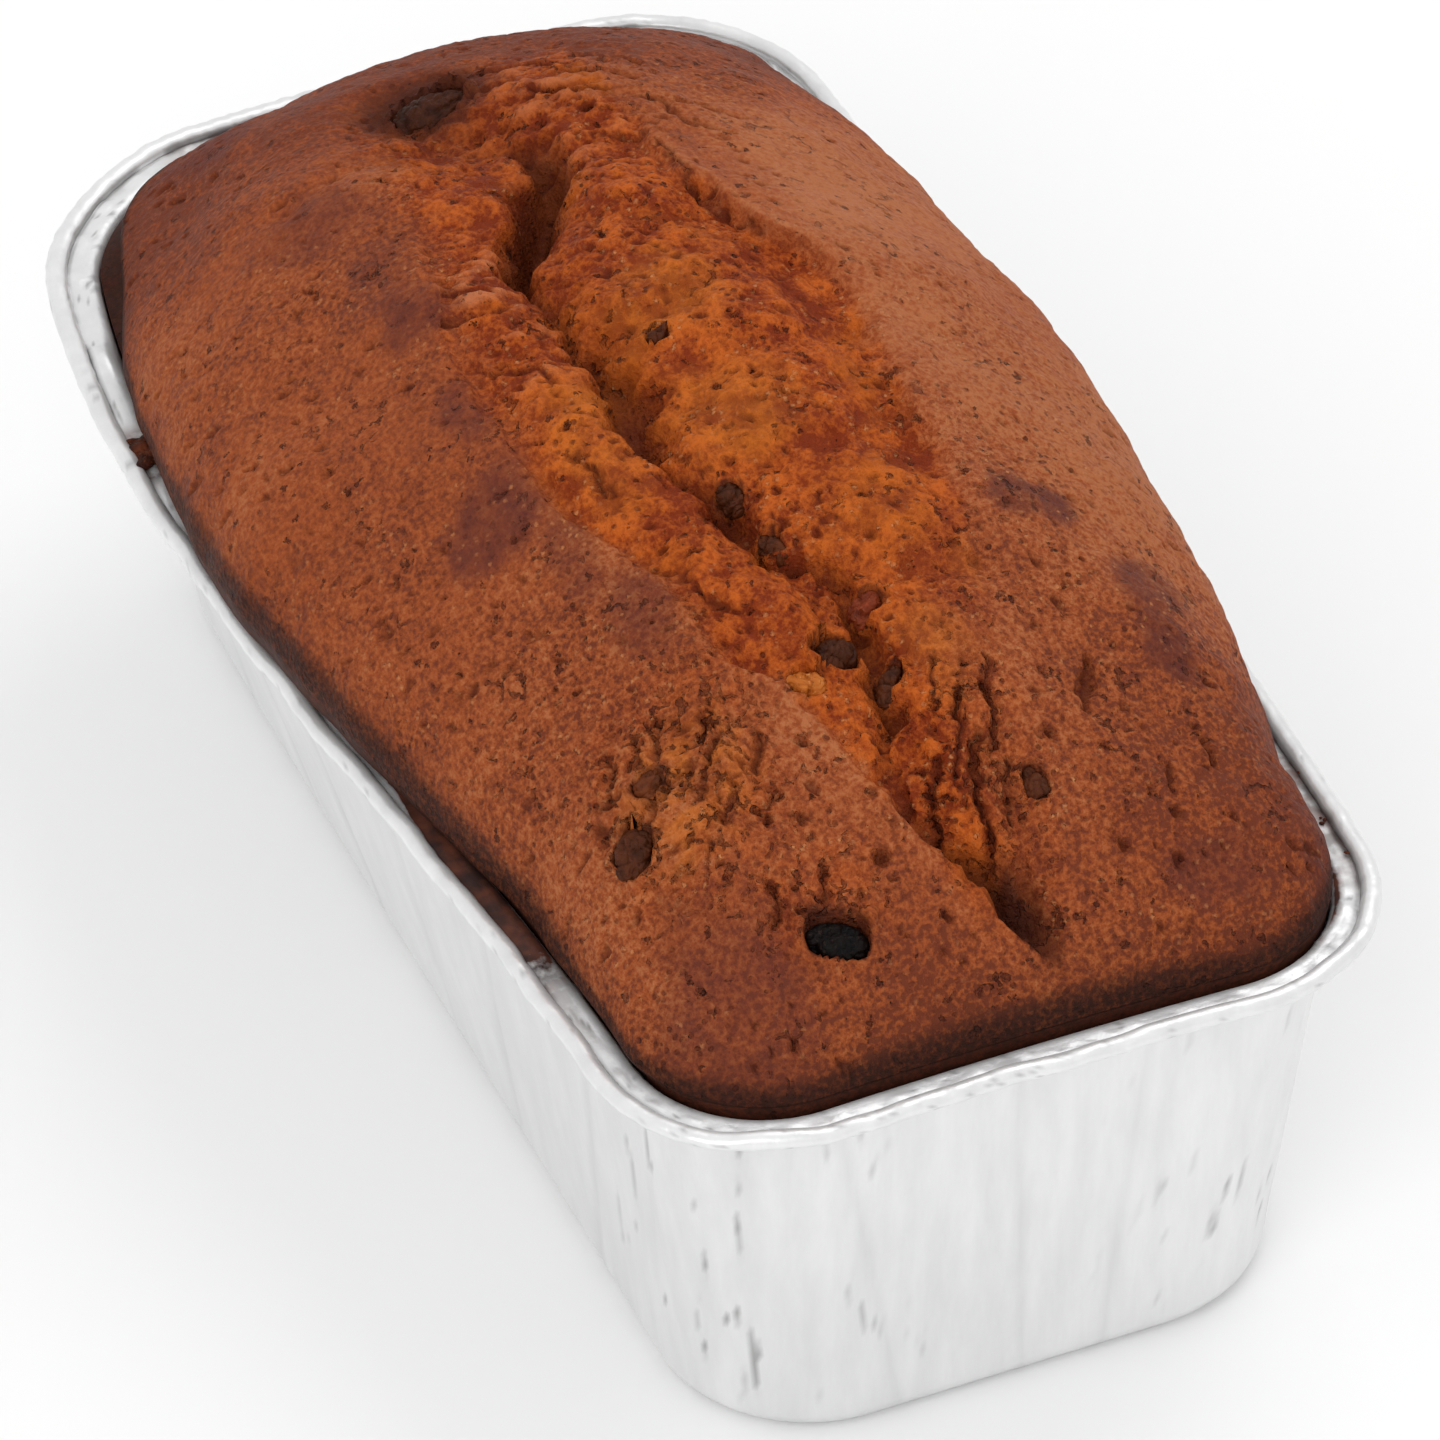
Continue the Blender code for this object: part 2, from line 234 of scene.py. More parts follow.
# Splits in the crust: half width, depth, then the points they run through
SPLITS = (
    (0.55, 1.5, (63, -25), (65.4, -26.6), (67.6, -28.8), (69.6, -30.3)),
    (0.50, 1.2, (56.2, -30.0), (60, -32.3)),
    (0.50, 1.2, (61.4, -37.8), (60.2, -40.0)),
    (0.45, 1.0, (62.2, -41.1), (65, -41.4)),
    (0.55, 1.4, (63.6, -33.8), (67, -35.4), (69, -36.8)),
    (0.55, 1.4, (82.8, -26.2), (85.1, -26.5), (86.6, -27.5)),
    (0.45, 1.1, (84.2, -19.6), (87, -20.9)),
    (0.50, 1.2, (87, -24.5), (87.7, -22.5), (88.8, -20.4)),
    (0.60, 1.5, (67, 23.2), (70, 21.4), (73.8, 18.9)),
    (0.50, 1.2, (76, 32.8), (78.5, 33.6), (81, 33.6)),
    (0.45, 1.0, (82, 27.0), (84.5, 26.3)),
    (0.40, 1.0, (55.2, -37.2), (58.9, -38.3)),
    (0.40, 1.0, (55.8, -33.6), (59.2, -35.5)),
    (0.45, 1.1, (63.8, -28.8), (67, -30.7)),
    (0.45, 1.0, (71, -25.9), (73.5, -27.7)),
    (0.40, 1.0, (65.8, -20.2), (69, -22.2)),
    (0.45, 1.0, (64, -31.5), (67, -33.5)),
    (0.40, 0.9, (73.5, -21.6), (75.2, -24.4)),
    (0.40, 0.9, (58.6, -25.4), (62, -27.2)),
    (0.55, 1.5, (75.4, -1.0), (82.2, -3.9)),
    (0.60, 1.8, (75.2, 4.3), (82.6, 1.0)),
    (0.55, 1.6, (83.2, 1.7), (87, 0.3)),
    (0.45, 1.2, (70.2, 4.2), (78.2, 0.4)),
    (0.45, 1.2, (70.2, 8.2), (76.4, 5.8)),
    (0.40, 1.0, (64, 3.4), (69.5, 1.2)),
    (0.40, 1.0, (66, 9.6), (71, 7.4)),
    (0.50, 1.2, (78.5, 6.8), (85, 4.6)),
    (0.50, 1.0, (-66, 7.6), (-60.4, 11), (-58.9, 15.3)),
    (0.50, 1.0, (-71.5, 12.7), (-65.3, 18.6)),
    (0.50, 1.0, (-51.3, 12.9), (-49.6, 20.5), (-45.6, 24.4)),
    (0.40, 0.8, (-47, 4), (-44, 9)),
    (0.40, 0.8, (-38, 0), (-35, 6.5)),
    (0.45, 1.0, (-23, -26), (-19.4, -22)),
    (0.40, 0.9, (-17, -27.5), (-14.5, -21)),
    (0.40, 0.8, (-7, -27), (-2, -22), (1.5, -20.8)),
    (0.45, 0.9, (15, -24.5), (19, -22.5), (22.5, -22.8)),
    (0.40, 0.8, (38.5, -21.2), (45, -19.0), (50.5, -15.2)),
    (0.40, 0.8, (-40, 10.2), (-33, 10.0), (-27, 10.4)),
    (0.50, 0.9, (-27, 10.4), (-22, 11.2), (-18, 12.8), (-15, 14.0)),
    (0.45, 1.1, (-64, 2), (-57, 6), (-55, 9)),
    (0.45, 1.0, (-76, 0), (-74, 6), (-70, 9)),
    (0.45, 1.0, (-50, 16), (-44, 17), (-40, 21)),
)
# Small holes: x, y, radius, depth
HOLES = (
    (76, -23.6, 0.9, 1.1),
    (77.2, -19.5, 0.8, 0.9),
    (68.8, -16.2, 0.9, 1.0),
    (84.7, -12.4, 1.2, 1.6),
    (92.6, -7.3, 0.8, 1.0),
    (76.9, 13.3, 0.9, 1.1),
    (88.1, 25.7, 0.9, 1.0),
    (92.7, 23.6, 0.8, 0.9),
    (90.2, 17.3, 0.8, 0.9),
    (69.3, 38.5, 0.7, 0.8),
    (-53.2, 5.9, 1.1, 1.2),
    (-62.2, 1.9, 0.9, 1.0),
    (-37.8, -38.1, 0.7, 0.8),
    (-45.7, -42.6, 0.6, 0.7),
    (-36.7, -40.7, 0.6, 0.7),
    (-0.7, -27.2, 0.6, 0.7),
    (-13.7, -7.5, 1.1, 0.9),
    (-8.5, -18.0, 0.9, 0.9),
    (15.7, -8.3, 0.8, 0.8),
    (14.9, 1.5, 0.7, 0.7),
    (-17, -1.3, 0.9, 0.8),
    (-25.6, -4.6, 0.9, 0.8),
    (52.9, 22.6, 0.7, 0.8),
    (58.7, 22.7, 0.7, 0.8),
    (33.9, -45.8, 0.6, 0.6),
    (39.8, -36.7, 0.6, 0.7),
    (-12, -55.0, 0.6, 0.6),
    (71, 21, 1.1, 1.3),
    (79.6, 3.2, 1.3, 1.4),
    (86, -4.0, 1.2, 1.4),
)
# Shallow valleys between the swollen lobes: half width, depth, points
VALLEYS = (
    (2.6, 1.3, (-3.2, -12.5), (-3.5, -4.2), (-4.8, 4.5), (-8.0, 12.0)),
    (2.8, 1.5, (16.6, -13.0), (12.5, -8.3), (8.6, -1.2), (9.0, 8.1), (7.0, 17.0)),
    (2.4, 1.1, (32.0, -9.4), (28.8, -6.5), (27.2, 0.3), (27.9, 8.1), (29.5, 14.1)),
    (2.4, 1.2, (43.2, -5.3), (47.2, 1.0), (51.1, 7.3), (51.6, 15.2)),
    (2.2, 1.0, (-28.0, -5.0), (-22.0, 3.0), (-20.0, 12.0)),
    (2.4, 0.9, (-52.0, -12.0), (-60.0, -22.0), (-58.0, -34.0)),
    (2.2, 1.2, (94.7, 26.0), (93.1, 30.0), (91.5, 35.0)),
)
# Where the crust has drawn back from the rim, or spread over it:
# x, y, half lengths, shift along x and y
SHIFTS = (
    (-81, -48, 17, 12, 1.3, 4.0),
    (-30, 43, 14, 13, 0.0, -2.2),
    (-16, -60, 30, 14, 0.0, -1.0),
    (52, 52, 18, 12, 0.0, 1.2),
)
# Where fruit under the crust darkens it: x, y, half lengths, strength
STAINS = (
    (16.5, -34.5, 6.0, 5.5, 1.0),
    (18.5, -38.0, 4.5, 3.5, 0.9),
    (14.0, -29.5, 6.5, 2.6, 0.7),
    (28.3, -29.5, 8.0, 2.8, 0.6),
    (-1.0, -31.5, 7.0, 3.0, 0.7),
    (-22.0, -30.5, 6.5, 4.5, 0.85),
    (-35.3, -30.0, 5.0, 3.5, 0.55),
    (-51.0, -32.5, 7.0, 7.0, 0.6),
    (42.3, -26.3, 6.5, 4.0, 0.75),
    (41.6, 24.3, 4.0, 3.0, 1.0),
    (42.8, 29.2, 3.2, 2.6, 1.0),
    (55.4, 36.2, 5.0, 4.0, 0.9),
    (64.3, 34.6, 5.0, 3.4, 1.0),
    (94.0, 28.5, 3.0, 6.5, 0.8),
    (94.0, 45.0, 10.0, 4.0, 0.7),
    (-78.0, -6.0, 6.0, 6.0, 0.4),
    (92.0, -35.0, 12.0, 9.0, 0.6),
    (-94.0, -31.0, 7.0, 6.0, 0.8),
    (-85.0, -21.0, 6.0, 4.0, 0.5),
)
# Where the torn crumb is yellower and paler: x, y, half lengths, strength
GLOW = (
    (-6.3, -2.5, 8.0, 7.0, 0.40),
    (17.2, -3.0, 9.0, 8.0, 0.40),
    (41.5, 5.0, 9.0, 7.0, 0.15),
    (51.8, 16.4, 5.0, 4.0, 0.4),
    (14.0, -20.5, 12.0, 5.0, 0.35),
    (66.0, -30.0, 9.0, 8.0, 0.7),
    (62.0, 5.0, 7.0, 4.0, 0.45),
)
# Where the crumb is drawn out into strands, lies in leaves, or crumbles: x, y, half lengths
STRANDS = (77, 2.5, 13, 6.5)
LEAVES = (-18, -22, 18, 6.5)
FAR_LEAVES = (-60, 8, 20, 13)
CRUMBLY = (66, -30, 14, 10)
CRUMBLY_NEAR = (86, -21, 5, 7)


# Form shared with the construction

def rounded_square(u, v, half_long, half_wide, corner):
    ring = np.maximum(np.maximum(np.abs(u), np.abs(v)), 1e-9)
    un, vn = u / ring, v / ring

    def side(t, half):
        straight = half - corner
        run = np.abs(t) * (straight + corner * math.pi / 4)
        angle = np.clip((run - straight) / corner, 0, math.pi / 4)
        return np.sign(t) * np.minimum(run, straight + corner * np.sin(angle)), corner * (1 - np.cos(angle))

    x_long, drop_long = side(un, half_long)
    y_wide, drop_wide = side(vn, half_wide)
    on_long = np.abs(v) >= np.abs(u)
    x = np.where(on_long, x_long, np.sign(un) * (half_long - drop_wide))
    y = np.where(on_long, np.sign(vn) * (half_wide - drop_long), y_wide)
    return x * ring, y * ring


def out_of_true(x, y, half_long, half_wide, share):
    u = np.clip(x / half_long, -1, 1)
    v = np.clip(y / half_wide, -1, 1)
    left = LEFT_BOW * (1 - u**2) + LEFT_SKEW * u * (1 - u**2)
    right = RIGHT_BOW * (1 - u**2)
    end = np.where(x > 0, NEAR_BOW, -FAR_BOW) * (1 - v**2) * np.abs(u)
    return x + share * end, y + share * np.where(y > 0, right, -left) * np.abs(v)


def wall_at(height):
    t = height / FLANGE
    top = (RIM_LENGTH / 2 - RIM_REACH, RIM_WIDTH / 2 - RIM_REACH, RIM_CORNER - RIM_REACH)
    base = (BASE_LENGTH / 2, BASE_WIDTH / 2, BASE_CORNER)
    return tuple(b + (a - b) * t for a, b in zip(top, base))


def overhang(x, y):
    left = LEFT_OVERHANG * bell(x, 0, LEFT_OVERHANG_SPAN)
    left = left + 1.6 * np.clip(1 - (2 * x / RIM_LENGTH) ** 4, 0, 1) - bell(x, 55, 12)
    reach = (x - RIGHT_OVERHANG_MIDDLE) / RIGHT_OVERHANG_SPAN
    right = RIGHT_OVERHANG * np.clip(1 - reach**2, 0, 1) ** 1.2
    return np.where(y > 0, right, np.maximum(left, 0))


def dome(x, y, half_long, half_wide, corner):
    past = np.maximum(np.abs(x) - (half_long - corner), 0)
    half = half_wide - corner + np.sqrt(np.maximum(corner**2 - past**2, 0))
    tx = np.clip(np.abs(x) / half_long, 0, 1)
    ty = np.clip(np.abs(y) / np.maximum(half, 1e-6), 0, 1)
    far = (1 - tx**2.1) ** (1 / 1.65)
    near = (1 - tx**2.2) ** (1 / 1.8)
    right = (1 - ty**2.6) ** (1 / 2.0)
    left = (1 - ty**2.3) ** (1 / 1.9)
    corner_fall = 1 - 0.4 * tx**2 * ty**2 * (x < 0)
    return np.where(x < 0, far, near) * np.where(y > 0, right, left) * corner_fall


def follow(x, rows, column):
    table = np.array(rows, float)
    return np.interp(x, table[:, 0], table[:, column])


# Noise on arrays

def draw(ix, iy, seed):
    n = (ix.astype(np.int64) * 374761393 + iy.astype(np.int64) * 668265263 + seed * 974634777) & 0xFFFFFFFF
    n = ((n ^ (n >> 13)) * 1274126177) & 0xFFFFFFFF
    return ((n ^ (n >> 16)) & 0xFFFFFF) / float(0xFFFFFF)


def soft_noise(x, y, seed):
    ix, iy = np.floor(x), np.floor(y)
    fx, fy = x - ix, y - iy
    fx, fy = fx * fx * (3 - 2 * fx), fy * fy * (3 - 2 * fy)
    a = draw(ix, iy, seed) * (1 - fx) + draw(ix + 1, iy, seed) * fx
    b = draw(ix, iy + 1, seed) * (1 - fx) + draw(ix + 1, iy + 1, seed) * fx
    return 2 * (a * (1 - fy) + b * fy) - 1


def rough(x, y, seed, octaves=4, gain=0.5):
    total, size = 0, 1.0
    for k in range(octaves):
        total = total + size * soft_noise(x * 2**k + 17.3 * k, y * 2**k - 9.1 * k, seed + k)
        size *= gain
    return total


def cells(x, y, seed):
    """Distance to the nearest and second nearest scattered point, and a draw for the nearest."""
    ix, iy = np.floor(x), np.floor(y)
    first = np.full(x.shape, 9.0)
    second = np.full(x.shape, 9.0)
    who = np.zeros(x.shape)
    for dx in (-1, 0, 1):
        for dy in (-1, 0, 1):
            cx, cy = ix + dx, iy + dy
            px = cx + draw(cx, cy, seed)
            py = cy + draw(cx, cy, seed + 5)
            d = np.hypot(x - px, y - py)
            nearer = d < first
            second = np.where(nearer, first, np.minimum(second, d))
            who = np.where(nearer, draw(cx, cy, seed + 9), who)
            first = np.where(nearer, d, first)
    return first, second, who


def step_up(value, low, high):
    t = np.clip((value - low) / (high - low), 0, 1)
    return t * t * (3 - 2 * t)


def grit(x, y, size, seed, octaves=2):
    """Rough values of one size along both directions."""
    return rough(x / size, y / size, seed, octaves)


def bell(value, middle, half, power=2):
    """1 at the middle and falling on both sides; a higher power gives it a flatter top."""
    return np.exp(-(((value - middle) / half) ** power))


def patch(x, y, cx, cy, rx, ry, power=2):
    """A bell along both directions."""
    return np.exp(-(((x - cx) / rx) ** power) - ((y - cy) / ry) ** power)


def disc(u, v, power):
    """A round patch of radius 1; a higher power gives it a steeper rim."""
    return np.exp(-((u**2 + v**2) ** power))


# Fruit places, from the fixed model

FRUIT = sorted(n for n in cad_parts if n.startswith(("raisin", "cherry", "peel")))
# The crust grows over the rims of these, so that less of them shows
NARROW_HOLE = {
    "raisin_middle": 0.72,
    "raisin_middle_lower": 0.70,
    "raisin_top": 0.8,
    "cherry_piece": 0.8,
    "peel_piece": 0.95,
    "raisin_side": 0.84,
    "raisin_side_upper": 0.80,
    "raisin_right": 0.86,
}
# This one sits in a square hole: its half length and half width, and how far it is turned
SQUARE_HOLE = {"raisin_front": (4.1, 2.5, math.radians(70))}


def hole_of(name):
    low, high = (Vector(c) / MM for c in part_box(name))
    return (low + high) / 2, (high - low) / 2 * NARROW_HOLE.get(name, 0.92), SQUARE_HOLE.get(name)


holes = [hole_of(name) for name in FRUIT]


# Loaf

def shift_crust(x, y):
    for cx, cy, rx, ry, dx, dy in SHIFTS:
        near = patch(x, y, cx, cy, rx, ry)
        x, y = x + dx * near, y + dy * near
    return x, y


def base_relief(x, y):
    height = np.zeros_like(x)
    for cx, cy, rx, ry, rise in SWELLINGS:
        height += rise * patch(x, y, cx, cy, rx, ry)
    height += 0.45 * np.sin(x / 9.5 + 1.1 * np.sin(y / 8.0)) * np.cos(y / 7.0 - 0.6)
    height += 0.35 * np.sin(x / 5.2 - y / 6.3 + 1.7)
    return height


def along(x, y, points):
    """Distance from a line through points."""
    nearest = np.full(x.shape, 99.0)
    for (ax, ay), (bx, by) in zip(points, points[1:]):
        dx, dy = bx - ax, by - ay
        t = np.clip(((x - ax) * dx + (y - ay) * dy) / (dx * dx + dy * dy), 0, 1)
        nearest = np.minimum(nearest, np.hypot(x - ax - t * dx, y - ay - t * dy))
    return nearest


def flakes(x, y, size, stretch, turn, seed):
    """Rough relief drawn out along one direction."""
    c, s = math.cos(math.radians(turn)), math.sin(math.radians(turn))
    return rough((x * c + y * s) / (size * stretch), (y * c - x * s) / size, seed, 3)


def torn_crust(x, y, ragged):
    """Height with the crust's torn edges standing up, and where the crumb shows between them."""
    right = y - follow(x, RIGHT_EDGE, 1) - 0.7 * rough(x / 4.5, y / 30, 11, 3)
    left = follow(x, LEFT_EDGE, 1) + 0.6 * rough(x / 4.5, y / 30, 23, 3) - y
    height = base_relief(x, y)
    for out, lip, softer in ((right, RIGHT_LIP, 0.5), (left, LEFT_LIP, 0.0)):
        soft = 0.30 + softer * step_up(x, -15, 0)
        edge = 1 / (1 + np.exp(-np.clip(out / soft, -30, 30)))
        height += follow(x, lip, 2) * (edge - 0.5) * bell(out, 0, LIP_RUN)
    blur = 3.0 - 1.8 * step_up(x, 0, 22)
    torn = step_up(-right + 0.9 * ragged, -0.9, 1.9) * step_up((-left + 1.1 * ragged) / blur, -1.1, 1.9)
    torn *= step_up(x, -86, -64) * (1 - step_up(x, 84, 100))
    torn *= 1 - 0.75 * step_up(x + 1.2 * y, 52, 84) * step_up(y, -1, 6)
    return height, torn


def crack(x, y):
    """Depth of the crack, with a narrow slot along its bottom, and the painted shade that darkens it."""
    bend = 0.8 * grit(x, y, 2.2, 31, 3) + 0.5 * grit(x, y, 6, 37)
    open_here = step_up(x, CRACK[0][0], CRACK[0][0] + 6) * (1 - step_up(x, 98, CRACK[-1][0]))
    across = np.abs(y - follow(x, CRACK, 1) - bend) / follow(x, CRACK, 2)
    share = 0.92 - 0.50 * step_up(x, -66, -50)
    valley = share * follow(x, CRACK, 3) * open_here * np.exp(-(across**1.5))
    across = np.abs(y - follow(x, CRACK_LINE, 1) - bend) / follow(x, CRACK_LINE, 2)
    shut = 1 - 0.35 * step_up(x, -24, -18) * (1 - step_up(x, 84, 90))
    slot = shut * follow(x, CRACK_LINE, 3) * open_here * np.exp(-(across**2.4))
    return valley + slot, slot / 4.0 + 0.25 * share * valley / 3.0


def splits(x, y, warp, veer):
    """Depth of the splits and small holes, and the painted shade that darkens them."""
    depths = np.zeros_like(x)
    dark = np.zeros_like(x)
    width_here = np.maximum(0.95 + 0.45 * grit(x, y, 1.7, 151), 0.3)
    for half_width, depth, *points in SPLITS:
        d = along(x + warp[0] + veer[0], y + warp[1] + veer[1], points)
        here = np.exp(-((d / (width_here * half_width)) ** 2.6))
        depths = np.maximum(depths, 1.1 * depth * here)
        dark = np.maximum(dark, here * min(1.0, depth))
    for cx, cy, radius, depth in HOLES:
        d = np.hypot(x + 1.3 * warp[0] - cx, y + 1.3 * warp[1] - cy)
        here = 1 - step_up(d, radius * 0.5, radius * 1.15)
        depths = np.maximum(depths, depth * here)
        dark = np.maximum(dark, here)
    return depths, dark


def crumb_and_skin(x, y, torn, coarse, warp):
    """Relief of the torn crumb and of the skin beside it."""
    lumps = cells(x / 4.2 + 0.6 * grit(x, y, 4, 41), y / 4.2, 43)[0]
    crumble = 0.45 - cells(x / 1.5 + 0.4 * warp[0], y / 1.5 + 0.4 * warp[1], 58)[0]
    crumb = 0.45 * (0.45 - lumps) + 0.42 * grit(x, y, 3.1, 47, 4)
    crumb += 0.20 * grit(x, y, 1.25, 60) + 0.24 * crumble
    skin = 0.26 * grit(x, y, 10, 53, 3) + 0.09 * grit(x, y, 1.9, 59)
    skin += coarse * (0.13 * grit(x, y, 1.25, 59) + 0.20 * crumble)
    skin += step_up(x, 30, 80) * 0.20 * grit(x, y, 2.6, 62)
    return torn * crumb + (1 - torn) * skin


def pits(x, y, warp, torn, crumbly, strands):
    """Pores of the skin, holes of the crumb, and gaps between crumbs."""
    first, _, who = cells(x / 3.1 + 0.5 * warp[0], y / 3.1 + 0.5 * warp[1], 83)
    size = 0.09 + 0.15 * (who * 7.3 % 1.0)
    pit = (1 - step_up(first, size * 0.5, size * 1.1)) * (who > 0.66)
    pit *= step_up(grit(x, y, 14, 81), -0.75, 0.05)
    first, _, who = cells(x / 2.2 + 0.6 * warp[0] + 7.7, y / 2.2 + 0.6 * warp[1], 89)
    size = 0.12 + 0.2 * (who * 5.1 % 1.0)
    hole = (1 - step_up(first, size * 0.5, size * 1.2)) * (who > 0.74) * torn
    hole *= step_up(grit(x, y, 7, 91), -0.5, 0.2)
    first, second, _ = cells(x / 3.6 + warp[0], y / 2.2 + warp[1], 73)
    gap = (1 - step_up(second - first, 0.03, 0.17)) * step_up(grit(x, y, 4, 79), -0.1, 0.3)
    gap *= np.clip(np.maximum(crumbly, 0.6 * strands), 0, 1)
    return pit, hole, gap


def crust_form(x, y):
    """Height over the smooth dome, fine relief, and the masks that colour the crust."""
    ragged = grit(x, y, 1.6, 27, 3)
    warp = [0.35 * grit(x, y, 1.3, seed) for seed in (131, 137)]
    veer = [0.75 * grit(x, y, 3.2, seed) for seed in (141, 147)]
    height, torn = torn_crust(x, y, ragged)
    deep, groove = crack(x, y)
    height -= deep
    # The hollow round the far raisin and the end of the crack near the front are darkened with painted
    # shade.
    hollow = 0.95 * disc((x + 74) / 7.5, (y + 8.8 + 0.8 * ragged) / 9.2, 2.2)
    crack_end = disc((x - 91.5 + 0.8 * ragged) / 4.6, (y - 2.2 - 0.2 * (x - 91.5)) / 2.0, 1.6)
    height += 1.2 * patch(x, y, -66.5, -9.0, 2.6, 8.0) - 0.8 * hollow
    burnt_and_shade = np.maximum(hollow, crack_end)
    for half_width, depth, *points in VALLEYS:
        height -= depth * bell(along(x + 2 * warp[0], y + 2 * warp[1], points), 0, half_width)
    creases, split = splits(x, y, warp, veer)

    strands = patch(x, y, *STRANDS, 4)
    leaves = patch(x, y, *LEAVES, 4)
    far_leaves = patch(x, y, *FAR_LEAVES, 4)
    crumbly = np.maximum(patch(x, y, *CRUMBLY, 4), 0.8 * patch(x, y, *CRUMBLY_NEAR, 4))
    coarse = 0.66 + 0.34 * step_up(x, -10, 50) + 0.4 * torn + 0.15 * grit(x, y, 18, 57)
    coarse = np.clip(coarse, 0.5, 1)
    fine = crumb_and_skin(x, y, torn, coarse, warp)
    fine += strands * 0.5 * flakes(x + veer[0], y + veer[1], 1.25, 4.0, -22, 61)
    fine += strands * 0.4 * grit(x, y, 1.5, 66, 3)
    fine += (0.45 * leaves + 0.4 * far_leaves) * flakes(x + veer[0], y + veer[1], 1.5, 3.2, 68, 63)
    fine += crumbly * (0.5 * grit(x, y, 1.7, 65, 3) + 0.35 * flakes(x, y, 1.3, 2.2, -22, 69))
    torn = np.maximum(torn, 0.62 * crumbly * step_up(ragged, -0.9, 0.5))
    pit, hole, gap = pits(x, y, warp, torn, crumbly, strands)
    fine -= 0.6 * pit + 0.75 * hole + 0.7 * gap + creases

    # Round each fruit the crust is darkened with painted shade: the socket mask.
    sockets = np.zeros_like(x)
    for place in holes:
        d = hole_distance(x, y, *place)
        sockets = np.maximum(sockets, 1 - step_up(d, 0.84, 1.06))
        fine += bell(d, 1.04, 0.17) * np.clip(1 + ragged, 0, 2)
    fine = fine * (1 - 0.8 * sockets) - SKIN_DROP
    # Of these masks, groove, pit and socket carry painted shade, and lump is the relief that the crumb's
    # painted light and shade follow.
    masks = {
        "torn": torn,
        "groove": np.maximum(groove, burnt_and_shade),
        "pit": np.maximum.reduce([0.8 * pit, 0.7 * hole, 0.7 * gap, split]),
        "lump": 0.5 + (fine + SKIN_DROP) * 0.6,
        "coarse": coarse,
        "socket": np.maximum(sockets, burnt_and_shade),
        "crumbly": crumbly + 0.7 * strands,
        "leaf": leaves + 0.6 * far_leaves + 0.4 * crumbly,
    }
    return height, fine, {name: np.clip(values, 0, 1) for name, values in masks.items()}


def hole_distance(x, y, middle, reach, square):
    """How far out from a fruit's middle, 1 at its rim, with an uneven edge."""
    u, v, power, uneven = (x - middle.x) / reach.x, (y - middle.y) / reach.y, 2.6, 0.20
    if square:
        long, wide, turn = square
        u = ((x - middle.x) * math.cos(turn) + (y - middle.y) * math.sin(turn)) / long
        v = ((y - middle.y) * math.cos(turn) - (x - middle.x) * math.sin(turn)) / wide
        power, uneven = 5.0, 0.10
    d = (np.abs(u) ** power + np.abs(v) ** power) ** (1 / power)
    return d * (1 + uneven * grit(x, y, 2.4, 109, 3))


def tone_of(x, y, ring):
    """Where the crust is paler or darker, with painted light on the right-hand plate and along the torn
    edges and painted shade on the near end and at the rim, where fruit below stains it, and where the crumb
    glows.
    """
    tone = 0.44 + 0.15 * grit(x, y, 24, 97, 3)
    # Paler on the right-hand plate: partly the plate's own paler crust, partly painted light from the
    # right.
    tone += 0.38 * step_up(y, 10, 26) * (1 - step_up(x, 30, 75)) * step_up(x, -62, -45)
    tone += 0.04 * step_up(-x, 30, 80) * step_up(-y, 0, 30)
    tone -= 0.32 * step_up(x, 50, 70) * step_up(y, 12, 24) * (1 - 0.5 * step_up(x, 84, 94))
    # Painted highlights along the raised torn edges, on the right towards the far end and on the left near
    # the front.
    past = y - follow(x, RIGHT_EDGE, 1)
    tone += 0.30 * bell(past, 1.2, 1.0) * step_up(x, -46, -40) * (1 - step_up(x, -14, -6))
    past = follow(x, LEFT_EDGE, 1) - y
    tone += 0.22 * bell(past, 1.0, 0.9) * step_up(x, 50, 60)
    tone += 0.10 * step_up(x, 20, 60) * (1 - step_up(y, 0, 12)) - 0.46 * step_up(-x, 54, 86)
    # Darker on the near end, which turns away from the light: painted shade.
    tone -= 0.24 * step_up(x, 82, 98) * (1 - step_up(y, -6, 6))
    tone += 0.16 * patch(x, y, 70, -15, 9, 7)
    # More painted shade towards the near end, and a darker rim where the crust meets the tin: partly
    # darker-baked crust, partly painted shade.
    tone -= 0.06 * step_up(x, 68, 84) + 0.04 * step_up(x, 88, 100) + 0.22 * step_up(ring, 0.975, 1.0)
    layers = [np.clip(tone, 0, 1)]
    for places in (STAINS, GLOW):
        layer = np.zeros_like(x)
        for cx, cy, rx, ry, strength in places:
            d = ((x - cx) / rx) ** 2 + ((y - cy) / ry) ** 2
            d = d * (1 + 0.35 * grit(x, y, 3.5, 101))
            layer = np.maximum(layer, strength * (1 - step_up(d, 0.25, 1.9)))
        layers.append(np.clip(layer, 0, 1))
    return layers


